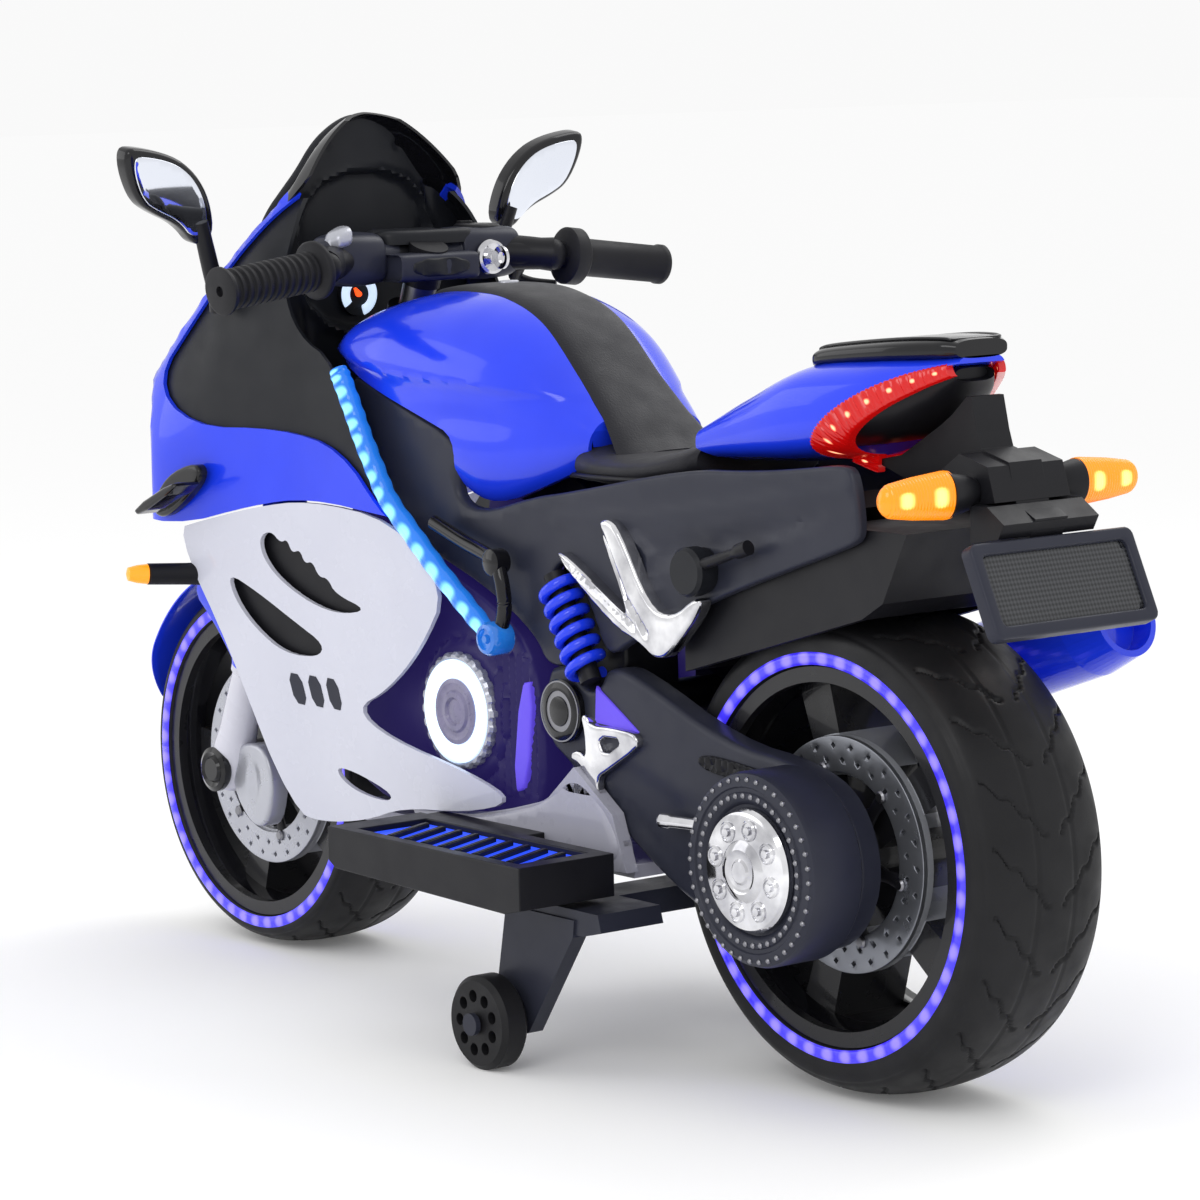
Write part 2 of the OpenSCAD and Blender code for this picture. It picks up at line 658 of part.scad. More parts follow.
// Wheel disc: rim barrel, dished web and hub, bored for the axle
module wheel_rim(x, r, outer, half, web) difference() {
    union() {
        spun([[outer - 12, -half + 4], [outer, -half + 4], [outer, half - 4], [outer - 12, half - 4]], x, r);
        spun([[20, -half + 12], [34, -half + 12], [34, half - 12], [20, half - 12]], x, r);
        spun([[0, -half + 2], [22, -half + 2], [22, half - 2], [0, half - 2]], x, r);
        for (i = [0 : 4]) translate([x, 0, r]) rotate([0, 72 * i, 0])
            slab([[30, -13], [outer - 8, -18], [outer - 8, 18], [30, 13]], -web, web);
        both_sides() difference() {
            across(92, web - 1, web + 5, x, r);
            across(62, web - 2, web + 6, x, r);
            for (i = [0 : 29]) across(2.5, web, web + 6, x + 84 * cos(12 * i), r + 84 * sin(12 * i));
            for (i = [0 : 29]) across(2.5, web, web + 6, x + 74 * cos(12 * i + 6), r + 74 * sin(12 * i + 6));
        }
    }
    across(axle_r + run_gap, -half - 5, half + 5, x, r);
}

// Lamp rings let into both faces of a wheel
module lamp_rings(x, r, outer, half) both_sides() difference() {
    across(outer, half - 0.2, half + 0.6, x, r);
    across(outer - 11, half - 5, half + 8, x, r);
}

module front_tyre() color(black) placed() spun(tyre_profile(front_r, front_half_w, 138), wheelbase, front_r);
module front_rim() color(black) placed() wheel_rim(wheelbase, front_r, 137.8, front_half_w, 30);
module front_lamp_rings() color(glow) placed() lamp_rings(wheelbase, front_r, 150, front_half_w);
module rear_tyre() color(black) placed() spun(tyre_profile(rear_r, rear_half_w, 147), 0, rear_r);
module rear_rim() color(black) placed() wheel_rim(0, rear_r, 146.8, rear_half_w, 36);
module rear_lamp_rings() color(glow) placed() lamp_rings(0, rear_r, 159, rear_half_w);

// Stabiliser wheel with round pockets in its outer face
module stabiliser_wheel(side) color(black) placed() scale([1, side, 1]) difference() {
    spun([[0, 173], [12, 173], [14, 176], [helper_r - 4, 176], [helper_r, 180], [helper_r, 197],
        [helper_r - 4, 201], [0, 201]], 268, helper_r);
    across(pin_r + run_gap, 170, 204, 268, helper_r);
    for (i = [0 : 8]) across(5, 194, 204, 268 + 22 * cos(40 * i), helper_r + 22 * sin(40 * i));
}
module stabiliser_wheel_left() stabiliser_wheel(1);
module stabiliser_wheel_right() stabiliser_wheel(-1);

main_frame();
battery_pack();
control_box();
drive_motor();
gearbox();
belly_pan();
engine_block();
engine_lamps();
lamp_strips();
swingarm_left();
swingarm_right();
rear_axle();
hub_cover();
hub_disc();
shock_springs();
footrest_hangers();
gear_lever();
footboard_left();
footboard_right();
stabiliser_bar();
side_fairing_left();
side_fairing_right();
front_cowl();
inner_cowl();
gauge();
windscreen();
headlamps();
winglets();
front_indicators();
tank_cover();
tank_strip();
seat();
side_cover_left();
side_cover_right();
tail_cowl();
tail_pad();
tail_lamps();
plate_bracket();
number_plate();
rear_indicators();
rear_mudguard();
muffler();
mirrors();
steering_stem();
fork_legs();
front_fender();
handlebar();
dash_pod();
grip_left();
throttle_grip();
key();
horn_button();
front_tyre();
front_rim();
front_lamp_rings();
rear_tyre();
rear_rim();
rear_lamp_rings();
stabiliser_wheel_left();
stabiliser_wheel_right();
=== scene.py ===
import math
import bmesh
import bpy
import numpy as np
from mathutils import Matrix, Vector, geometry


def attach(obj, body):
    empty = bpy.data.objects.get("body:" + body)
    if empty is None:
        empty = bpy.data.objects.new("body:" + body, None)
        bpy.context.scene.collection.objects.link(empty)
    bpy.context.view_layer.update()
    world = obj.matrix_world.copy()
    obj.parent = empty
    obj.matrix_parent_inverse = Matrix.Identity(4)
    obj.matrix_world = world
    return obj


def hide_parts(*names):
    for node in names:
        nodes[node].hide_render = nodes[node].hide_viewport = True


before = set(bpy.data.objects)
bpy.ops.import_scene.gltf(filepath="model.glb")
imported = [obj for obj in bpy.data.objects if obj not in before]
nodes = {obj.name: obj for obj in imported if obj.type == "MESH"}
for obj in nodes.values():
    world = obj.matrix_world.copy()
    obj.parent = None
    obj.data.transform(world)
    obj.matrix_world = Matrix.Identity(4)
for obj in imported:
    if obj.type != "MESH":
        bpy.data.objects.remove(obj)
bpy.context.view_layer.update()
# Millimetres from the model's middle; lengths below are in millimetres from the rear axle's foot
rearAxleX = -379.0
print("frame loaded,", len(nodes), "nodes")


# Point = (millimetres + the axle's offset) / 1000
def toMetres(points):
    return (np.asarray(points, float).reshape(-1, 3) + (rearAxleX, 0, 0)) / 1000


# Face of row r, column c joins (r, c), (r, c+1), (r+1, c+1), (r+1, c), wrapping where asked
def gridFaces(rows, cols, wrapRows=False, wrapCols=False, start=0):
    down, across = np.arange(rows if wrapRows else rows - 1), np.arange(cols if wrapCols else cols - 1)
    r, c = np.meshgrid(down, across, indexing="ij")
    below, beside = (r + 1) % rows, (c + 1) % cols
    quads = np.stack([r * cols + c, r * cols + beside, below * cols + beside, below * cols + c], -1)
    return (start + quads.reshape(-1, 4)).tolist()


# Value at t = cubic curve through the rows of table, each column on its own, slopes from neighbours
def smoothRows(table, t):
    table = np.asarray(table, float)
    n = len(table)
    t = np.clip(t, 0, n - 1 - 1e-9)
    i = t.astype(int)
    f = (t - i)[:, None]
    slope = np.gradient(table, axis=0)
    a, b, sa, sb = table[i], table[i + 1], slope[i], slope[i + 1]
    start = (2 * f**3 - 3 * f**2 + 1) * a + (f**3 - 2 * f**2 + f) * sa
    return start + (3 * f**2 - 2 * f**3) * b + (f**3 - f**2) * sb


# Column values at a given first column, on the same cubic curve
def sectionAt(table, x):
    table = np.asarray(table, float)[::-1]
    dense = smoothRows(table, np.linspace(0, len(table) - 1, 400))
    return [np.interp(x, dense[:, 0], dense[:, k]) for k in range(1, 5)]


# Distance out from the middle = half width x (1 - |height share|^p)^(1/p), the side of a section at x and z
def sideOut(table, x, z, inset=0.0):
    w, low, high, p = sectionAt(table, x)
    share = np.clip(np.abs((z - (low + high) / 2) / ((high - low) / 2 - inset)), 0, 0.995)
    return (w - inset) * (1 - share**p) ** (1 / p)


# Height = middle + half height x (1 - |y share|^p)^(1/p), the top of a section at x and y
def topUp(table, x, y):
    w, low, high, p = sectionAt(table, x)
    share = np.clip(np.abs(y / w), 0, 0.995)
    return (low + high) / 2 + (high - low) / 2 * (1 - share**p) ** (1 / p)


# Ring k of the grid is a squared oval: y = w sgn(cos) |cos|^(2/p), z = middle + h sgn(sin) |sin|^(2/p)
def loftGrid(table, rows=90, around=128, inset=0.0):
    s = smoothRows(table, np.linspace(0, len(table) - 1, rows))
    a = np.linspace(0, 2 * np.pi, around, endpoint=False)[None, :]
    w, low, high, p = (s[:, k][:, None] for k in range(1, 5))
    x = s[:, 0][:, None].copy()
    x[0] -= inset
    x[-1] += inset
    y = (w - inset) * np.sign(np.cos(a)) * np.abs(np.cos(a)) ** (2 / p)
    z = (low + high) / 2 + ((high - low) / 2 - inset) * np.sign(np.sin(a)) * np.abs(np.sin(a)) ** (2 / p)
    return np.stack([x + 0 * a, y, z], -1)


# Each point gives two new ones, a quarter and three quarters along the side to the next
def roundOutline(points, rounds=2, share=0.25):
    p = np.asarray(points, float)
    for _ in range(rounds):
        q = np.roll(p, -1, 0)
        p = np.stack([p + (q - p) * share, q - (q - p) * share], 1).reshape(-1, p.shape[1])
    return p


# Points at even distances along a line
def evenly(points, spacing, closed=True):
    p = np.asarray(points, float)
    loop = np.vstack([p, p[:1]]) if closed else p
    d = np.r_[0, np.cumsum(np.linalg.norm(np.diff(loop, axis=0), axis=1))]
    t = np.linspace(0, d[-1], max(4, int(round(d[-1] / spacing))), endpoint=not closed)
    return np.stack([np.interp(t, d, loop[:, k]) for k in range(p.shape[1])], 1)


# Shortest distance of each point to the sides of an outline
def edgeDistance(points, outline, closed=True):
    a = outline if closed else outline[:-1]
    b = np.roll(outline, -1, 0) if closed else outline[1:]
    ab = b - a
    t = np.clip(((points[:, None] - a) * ab).sum(-1) / np.maximum((ab**2).sum(-1), 1e-9), 0, 1)
    return np.linalg.norm(points[:, None] - (a + t[..., None] * ab), axis=-1).min(1)


# A point is inside when a line from it crosses the outline an odd number of times
def insideOutline(points, outline):
    a, b = outline, np.roll(outline, -1, 0)
    x, z = points[:, 0][:, None], points[:, 1][:, None]
    spans = (a[:, 1] > z) != (b[:, 1] > z)
    step = np.where(np.abs(b[:, 1] - a[:, 1]) < 1e-12, 1e-12, b[:, 1] - a[:, 1])
    return (spans & (x < a[:, 0] + (b[:, 0] - a[:, 0]) * (z - a[:, 1]) / step)).sum(1) % 2 == 1


# Mesh from millimetre points and faces; doubles merged and faces turned outwards where the shape is one
# closed solid
def meshOf(name, points, faces, tidyUp=True, sharp=35):
    mesh = bpy.data.meshes.new(name)
    mesh.from_pydata(toMetres(points).tolist(), [], faces)
    if tidyUp:
        work = bmesh.new()
        work.from_mesh(mesh)
        bmesh.ops.remove_doubles(work, verts=work.verts, dist=2e-6)
        bmesh.ops.recalc_face_normals(work, faces=work.faces)
        work.to_mesh(mesh)
        work.free()
    mesh.polygons.foreach_set("use_smooth", np.ones(len(mesh.polygons), bool))
    mesh.set_sharp_from_angle(angle=math.radians(sharp))
    mesh.update()
    return mesh


# Turns each face of a closed mesh outwards, leaving its points and map as they are
def turnFacesOut(mesh):
    work = bmesh.new()
    work.from_mesh(mesh)
    bmesh.ops.recalc_face_normals(work, faces=work.faces)
    work.to_mesh(mesh)
    work.free()


# Adds a finished mesh as a piece on a body, with its finish and the nodes it stands for
def addPiece(name, mesh, material, body="chassis", stands=()):
    piece = bpy.data.objects.new(name, mesh)
    bpy.context.scene.collection.objects.link(piece)
    mesh.materials.clear()
    mesh.materials.append(material)
    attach(piece, body)
    if stands:
        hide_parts(*stands)
    return piece


# Closed tube or solid of revolution: the grid's columns wrap, and its first and last rows are closed by
# one face each
def tubeMesh(name, grid, sharp=35):
    rows, cols = grid.shape[:2]
    faces = gridFaces(rows, cols, wrapCols=True)
    faces += [list(range(cols)), list(range((rows - 1) * cols, rows * cols))[::-1]]
    return meshOf(name, grid, faces, sharp=sharp)


# Two directions at right angles to d
def crossAxes(d):
    d = np.asarray(d, float) / np.linalg.norm(d)
    side = np.cross(d, (0, 0, 1.0) if abs(d[2]) < 0.9 else (1.0, 0, 0))
    side /= np.linalg.norm(side)
    return side, np.cross(d, side), d


# Point = start + distance x axis + radius x (side cos a + up sin a)
def turnedGrid(profile, start, axis, count=96):
    profile = np.asarray(profile, float)
    side, up, d = crossAxes(axis)
    a = np.linspace(0, 2 * np.pi, count, endpoint=False)[None, :, None]
    r, along = profile[:, 0][:, None, None], profile[:, 1][:, None, None]
    return np.asarray(start, float) + along * d + r * (np.cos(a) * side + np.sin(a) * up)


# Ring round a path: point = path + radius x (side cos a + up sin a), side square to the path
def sweptGrid(path, radius, count=16):
    path = np.asarray(path, float)
    t = np.gradient(path, axis=0)
    t /= np.linalg.norm(t, axis=1)[:, None]
    side = np.cross(t, (0.02, 0.03, 1.0))
    side /= np.linalg.norm(side, axis=1)[:, None]
    up = np.cross(t, side)
    a = np.linspace(0, 2 * np.pi, count, endpoint=False)[None, :, None]
    r = np.broadcast_to(np.asarray(radius, float), (len(path),))[:, None, None]
    return path[:, None] + r * (np.cos(a) * side[:, None] + np.sin(a) * up[:, None])


# Several solids of the same grid shape put in one mesh: grid copied to each offset
def manyGrids(name, grids, sharp=35):
    points, faces, start = [], [], 0
    for g in grids:
        rows, cols = g.shape[:2]
        faces += gridFaces(rows, cols, wrapCols=True, start=start)
        faces += [list(range(start, start + cols)),
                  list(range(start + (rows - 1) * cols, start + rows * cols))[::-1]]
        points.append(g.reshape(-1, 3))
        start += rows * cols
    return meshOf(name, np.vstack(points), faces, sharp=sharp)


# Corners in a plane go to x, y, z: "side" is x and z with depth y, "rear" is y and z with depth -x, "top"
# is x and y
def fromPlane(flat, depth, plane):
    u, v = flat[:, 0], flat[:, 1]
    return np.stack({"side": [u, depth, v], "rear": [-depth, u, v], "top": [u, v, depth]}[plane], 1)


# Moulding: front depth = front - r (1 - sqrt(1 - (1 - d / r)^2)) within r of the edge, plus relief(u, v),
# where d is the distance to the nearest outline; the back is flat and walls join the two
def mouldingParts(outline, back, front, edge, plane="side", relief=None, spacing=9.0, rounds=2, holes=()):
    rim = evenly(roundOutline(outline, rounds), spacing * 0.6)
    loops = [rim] + [evenly(roundOutline(h, rounds), spacing * 0.6) for h in holes]
    low, high = rim.min(0), rim.max(0)
    gu, gv = np.meshgrid(np.arange(low[0], high[0], spacing), np.arange(low[1], high[1], spacing))
    gu = gu + (np.arange(gu.shape[0]) % 2)[:, None] * spacing / 2
    fill = np.stack([gu.ravel(), gv.ravel()], 1)
    fill = fill[insideOutline(fill, rim)]
    for h in loops[1:]:
        fill = fill[~insideOutline(fill, h)]
    allEdges = [np.roll(l, -1, 0) - l for l in loops]
    steps = []
    for share in (0.12, 0.35, 0.65, 1.0):
        for l, e in zip(loops, allEdges):
            t = (e + np.roll(e, 1, 0)) / 2
            n = np.stack([-t[:, 1], t[:, 0]], 1) / np.maximum(np.linalg.norm(t, axis=1), 1e-9)[:, None]
            for turn in (1, -1):
                q = l + turn * n * edge * share
                keep = insideOutline(q, rim)
                for h in loops[1:]:
                    keep &= ~insideOutline(q, h)
                far = np.min([edgeDistance(q, m) for m in loops], axis=0)
                steps.append(q[keep & (far > edge * share * 0.93)])
    far = np.min([edgeDistance(fill, m) for m in loops], axis=0)
    fill = fill[far > edge + spacing * 0.35]
    flat = np.vstack(loops + steps + [fill])
    ties, start = [], 0
    for l in loops:
        ties += [(start + i, start + (i + 1) % len(l)) for i in range(len(l))]
        start += len(l)
    made = geometry.delaunay_2d_cdt([Vector(p) for p in flat.tolist()], ties, [], 1, 1e-5)
    verts = np.array([list(v) for v in made[0]])
    tris = np.array([f for f in made[2] if len(f) == 3])
    middle = verts[tris].mean(1)
    keep = insideOutline(middle, rim)
    for h in loops[1:]:
        keep &= ~insideOutline(middle, h)
    tris = tris[keep]
    d = np.min([edgeDistance(verts, m) for m in loops], axis=0)
    s = 1 - np.clip(d / edge, 0, 1)
    depth = front - edge * (1 - np.sqrt(np.clip(1 - s**2, 0, 1)))
    if relief is not None:
        depth = depth + relief(verts[:, 0], verts[:, 1]) * np.clip(d / edge, 0, 1)
    edges = np.sort(np.vstack([tris[:, [0, 1]], tris[:, [1, 2]], tris[:, [2, 0]]]), axis=1)
    once, count = np.unique(edges, axis=0, return_counts=True)
    border = once[count == 1]
    n = len(verts)
    walls = np.stack([border[:, 0], border[:, 1], border[:, 1] + n, border[:, 0] + n], 1)
    points = np.vstack([fromPlane(verts, depth, plane), fromPlane(verts, np.full(n, float(back)), plane)])
    return points, tris.tolist() + (tris[:, ::-1] + n).tolist() + walls.tolist()


# One moulding, or a mirrored pair in one mesh
def moulding(name, outline, back, front, edge, pair=False, sharp=40, **options):
    points, faces = mouldingParts(outline, back, front, edge, **options)
    if pair:
        other = points * (1, -1, 1)
        faces = faces + [[i + len(points) for i in f[::-1]] for f in faces]
        points = np.vstack([points, other])
    return meshOf(name, points, faces, sharp=sharp)


# Hollow panel: the solid between a lofted skin and the same skin one wall smaller, kept inside an outline
# and cut by others
def panelMesh(name, table, keep, cuts=(), inset=0.0, wall=3.5, side=0, rows=110, around=144, rounds=2,
              also=(), shape=None):
    outer, inner = (loftGrid(table, rows, around, i) for i in (inset, inset + wall))
    if shape is not None:
        outer, inner = shape(outer), shape(inner)
    count = rows * around
    faces = gridFaces(rows, around, wrapCols=True)
    ends = [list(range(around)), list(range(count - around, count))[::-1]]
    lofted = meshOf(name, outer, faces + ends)
    hollow = meshOf(name + "Inner", inner, faces + ends)
    base = bpy.data.objects.new(name + "Work", lofted)
    helpers = [(bpy.data.objects.new(name + "Hollow", hollow), "DIFFERENCE")]
    for number, (outline, how) in enumerate([(keep, "INTERSECT")] + [(c, "DIFFERENCE") for c in cuts]):
        flat = roundOutline(outline, rounds)
        reach = {0: (-400.0, 400.0), 1: (5.0, 400.0), -1: (-400.0, -5.0)}
        near, away = reach[side if how == "INTERSECT" else 0]
        ring = np.stack([fromPlane(flat, np.full(len(flat), y), "side") for y in (near, away)])
        helpers.append((bpy.data.objects.new(f"{name}Cut{number}", tubeMesh("cut", ring)), how))
    helpers += [(bpy.data.objects.new(f"{name}Also{i}", m), "DIFFERENCE") for i, m in enumerate(also)]
    for o in [base] + [h for h, _ in helpers]:
        bpy.context.scene.collection.objects.link(o)
    for cutter, how in helpers:
        step = base.modifiers.new(cutter.name, "BOOLEAN")
        step.object, step.operation, step.solver = cutter, how, "EXACT"
    bpy.context.view_layer.update()
    made = bpy.data.meshes.new_from_object(base.evaluated_get(bpy.context.evaluated_depsgraph_get()))
    for o in [base] + [h for h, _ in helpers]:
        bpy.data.objects.remove(o)
    made.materials.clear()
    made.polygons.foreach_set("use_smooth", np.ones(len(made.polygons), bool))
    made.set_sharp_from_angle(angle=math.radians(32))
    made.name = name
    return made


# Node of a kind with some sockets set, numbers by position or name
def addNode(tree, kind, **sockets):
    made = tree.nodes.new(kind)
    for key, value in sockets.items():
        if hasattr(made, key):
            setattr(made, key, value)
        else:
            made.inputs[key.replace("_", " ")].default_value = value
    return made


# Moulded or painted finish: two tones mixed by soft noise, roughness by a second noise, fine bump for
# grain; on chrome the two tones are painted light and dark reflections
def finish(name, tone, other, rough, grain=900.0, depth=0.05, cloud=14.0, metal=0.0, coat=0.0,
           coatRough=0.05, spread=0.06, glow=None, glowPower=0.0, sheen=0.0, specular=0.22, bumpSize=0.0002,
           hard=1.0):
    material = bpy.data.materials.new(name)
    material.use_nodes = True
    tree = material.node_tree
    shader = tree.nodes["Principled BSDF"]
    place = addNode(tree, "ShaderNodeTexCoord")
    clouds = addNode(tree, "ShaderNodeTexNoise", Scale=cloud, Detail=4.0, Roughness=0.55)
    mix = addNode(tree, "ShaderNodeMix", data_type="RGBA")
    mix.inputs["A"].default_value, mix.inputs["B"].default_value = (*tone, 1), (*other, 1)
    patches = addNode(tree, "ShaderNodeTexNoise", Scale=cloud * 3.1, Detail=3.0)
    low, high = max(rough - spread, 0.02), min(rough + spread, 1.0)
    roughness = addNode(tree, "ShaderNodeMapRange", From_Min=0.3, From_Max=0.7, To_Min=low, To_Max=high)
    fine = addNode(tree, "ShaderNodeTexNoise", Scale=grain, Detail=2.0)
    bump = addNode(tree, "ShaderNodeBump", Strength=depth, Distance=bumpSize)
    for texture in (clouds, patches, fine):
        tree.links.new(place.outputs["Object"], texture.inputs["Vector"])
    split = addNode(tree, "ShaderNodeMapRange", From_Min=0.5 - 0.5 / hard, From_Max=0.5 + 0.5 / hard)
    tree.links.new(clouds.outputs["Fac"], split.inputs["Value"])
    tree.links.new(split.outputs["Result"], mix.inputs["Factor"])
    tree.links.new(mix.outputs["Result"], shader.inputs["Base Color"])
    tree.links.new(patches.outputs["Fac"], roughness.inputs["Value"])
    tree.links.new(roughness.outputs["Result"], shader.inputs["Roughness"])
    tree.links.new(fine.outputs["Fac"], bump.inputs["Height"])
    tree.links.new(bump.outputs["Normal"], shader.inputs["Normal"])
    shader.inputs["Metallic"].default_value = metal
    shader.inputs["Coat Weight"].default_value = coat
    shader.inputs["Coat Roughness"].default_value = coatRough
    shader.inputs["Sheen Weight"].default_value = sheen
    shader.inputs["Specular IOR Level"].default_value = specular
    if glow:
        shader.inputs["Emission Color"].default_value = (*glow, 1)
        shader.inputs["Emission Strength"].default_value = glowPower
    return material


# Value = chain of two-number operations on a node output, each step (operation, number)
def mathChain(tree, value, *steps):
    for operation, number in steps:
        made = addNode(tree, "ShaderNodeMath", operation=operation)
        tree.links.new(value, made.inputs[0])
        if number is not None:
            if isinstance(number, (int, float)):
                made.inputs[1].default_value = number
            else:
                tree.links.new(number, made.inputs[1])
        value = made.outputs[0]
    return value


# Lamp finish: bright spots on a tinted body, on the piece's own map; a spot fades smoothly as
# ((fraction(count x u) - 1/2) / wide)^2 + ((v - 1/2) / tall)^2 goes from 0 to 1
def spotFinish(name, body, spot, count, power, bodyPower, wide=0.3, tall=0.45, rough=0.25):
    material = finish(name, body, tuple(0.8 * c for c in body), rough, grain=400, depth=0.1, coat=0.6)
    tree = material.node_tree
    shader = tree.nodes["Principled BSDF"]
    uv = addNode(tree, "ShaderNodeUVMap", uv_map="along")
    split = addNode(tree, "ShaderNodeSeparateXYZ")
    tree.links.new(uv.outputs["UV"], split.inputs[0])
    u = mathChain(tree, split.outputs["X"], ("MULTIPLY", float(count)), ("FRACT", None), ("SUBTRACT", 0.5),
                  ("DIVIDE", wide), ("POWER", 2.0))
    v = mathChain(tree, split.outputs["Y"], ("SUBTRACT", 0.5), ("DIVIDE", tall), ("POWER", 2.0), ("ADD", u))
    near = addNode(tree, "ShaderNodeMapRange", interpolation_type="SMOOTHSTEP", From_Min=0.0, From_Max=1.0,
                   To_Min=1.0, To_Max=0.0)
    tree.links.new(v, near.inputs["Value"])
    tint = addNode(tree, "ShaderNodeMix", data_type="RGBA")
    tint.inputs["A"].default_value, tint.inputs["B"].default_value = (*body, 1), (*spot, 1)
    tree.links.new(near.outputs["Result"], tint.inputs["Factor"])
    tree.links.new(tint.outputs["Result"], shader.inputs["Emission Color"])
    level = mathChain(tree, near.outputs["Result"], ("MULTIPLY", power - bodyPower), ("ADD", bodyPower))
    tree.links.new(level, shader.inputs["Emission Strength"])
    return material


# Mesh map "along": u is the share along the grid's rows, v the share across its columns, for each corner
def mapAlong(mesh, share):
    layer = mesh.uv_layers.new(name="along")
    corners = np.empty(len(mesh.loops), int)
    mesh.loops.foreach_get("vertex_index", corners)
    layer.data.foreach_set("uv", share[corners].astype(np.float32).ravel())


paints = {
    "bluePaint": finish("bluePaint", (0.008, 0.036, 0.74), (0.014, 0.052, 0.90), 0.2, grain=2500,
                        depth=0.02, coat=0.5, coatRough=0.03, specular=0.3),
    "pearlPaint": finish("pearlPaint", (0.62, 0.63, 0.72), (0.55, 0.56, 0.65), 0.25, grain=2600, depth=0.03,
                         coat=0.7, coatRough=0.04),
    "greyPearl": finish("greyPearl", (0.42, 0.42, 0.49), (0.34, 0.34, 0.41), 0.3, grain=2200, depth=0.04,
                        coat=0.5),
    "glossBlack": finish("glossBlack", (0.003, 0.003, 0.004), (0.007, 0.007, 0.009), 0.16, grain=2000,
                         depth=0.03, coat=0.35),
    "satinBlack": finish("satinBlack", (0.006, 0.006, 0.008), (0.011, 0.011, 0.014), 0.42, grain=1500,
                         depth=0.18),
    # black with a violet tint, and a faint violet glow that is painted light from the lamps beside the
    # engine covers
    "violetLitBlack": finish("violetLitBlack", (0.012, 0.010, 0.030), (0.018, 0.014, 0.050), 0.4, grain=1500,
                          depth=0.18, glow=(0.09, 0.05, 0.6), glowPower=0.10),
    "charcoalPlastic": finish("charcoalPlastic", (0.018, 0.020, 0.032), (0.030, 0.032, 0.048), 0.36,
                              grain=1700, depth=0.16, spread=0.08),
    "linerPlastic": finish("linerPlastic", (0.007, 0.008, 0.011), (0.013, 0.014, 0.018), 0.42, grain=1400,
                           depth=0.22),
    "seatVinyl": finish("seatVinyl", (0.009, 0.009, 0.013), (0.015, 0.015, 0.020), 0.45, grain=620,
                        depth=0.45, bumpSize=0.0005, sheen=0.05),
    "rubber": finish("rubber", (0.007, 0.007, 0.008), (0.013, 0.013, 0.015), 0.5, grain=800, depth=0.35,
                     spread=0.1),
    "gripRubber": finish("gripRubber", (0.008, 0.008, 0.010), (0.014, 0.014, 0.017), 0.5, grain=1300,
                         depth=0.4),
    # chrome: the bright and dark tones, mixed in hard noise patches, are painted reflections of the
    # surroundings
    "chrome": finish("chrome", (0.96, 0.96, 0.98), (0.30, 0.30, 0.33), 0.1, grain=500, depth=0.05,
                     metal=1.0, spread=0.05, cloud=20.0, hard=2.4, specular=0.5),
    "silverPaint": finish("silverPaint", (0.50, 0.51, 0.56), (0.40, 0.41, 0.46), 0.3, grain=2400,
                          depth=0.08, metal=0.45, coat=0.3),
    "brushedDisc": finish("brushedDisc", (0.30, 0.31, 0.34), (0.20, 0.21, 0.24), 0.32, grain=1400,
                          depth=0.15, metal=0.8),
    "whiteFork": finish("whiteFork", (0.68, 0.68, 0.76), (0.58, 0.58, 0.66), 0.28, grain=2200, depth=0.05,
                        coat=0.6),
    "steel": finish("steel", (0.30, 0.30, 0.32), (0.20, 0.20, 0.22), 0.35, grain=700, depth=0.1, metal=1.0,
                    specular=0.5),
    "amberLens": finish("amberLens", (0.95, 0.26, 0.008), (1.0, 0.34, 0.015), 0.2, grain=300, depth=0.1,
                        coat=0.6, glow=(1.0, 0.33, 0.008), glowPower=0.55),
    "whiteLamp": finish("whiteLamp", (0.80, 0.88, 1.0), (0.70, 0.80, 1.0), 0.3, grain=300, depth=0.2,
                        glow=(0.62, 0.78, 1.0), glowPower=0.85, cloud=60.0, hard=2.0),
    "lampCore": finish("lampCore", (0.24, 0.22, 0.34), (0.16, 0.15, 0.24), 0.3, grain=300, depth=0.2,
                       cloud=70.0, hard=2.0, coat=0.5),
    "violetGlow": finish("violetGlow", (0.09, 0.05, 0.50), (0.13, 0.08, 0.65), 0.35, grain=300, depth=0.2,
                         glow=(0.13, 0.08, 0.85), glowPower=0.35),
    "bossBlue": finish("bossBlue", (0.01, 0.10, 0.42), (0.02, 0.18, 0.60), 0.12, grain=300, depth=0.1,
                       cloud=60.0, hard=2.0, coat=1.0, glow=(0.01, 0.16, 0.60), glowPower=0.3),
    "mirrorGlass": finish("mirrorGlass", (0.80, 0.83, 0.90), (0.74, 0.77, 0.85), 0.03, grain=60, depth=0.01,
                          metal=1.0, spread=0.01, specular=0.5),
    "clearLens": finish("clearLens", (0.70, 0.73, 0.78), (0.50, 0.53, 0.58), 0.08, grain=300, depth=0.05,
                        coat=1.0, specular=0.7, cloud=40.0, hard=2.0),
}
print("finishes made:", len(paints))

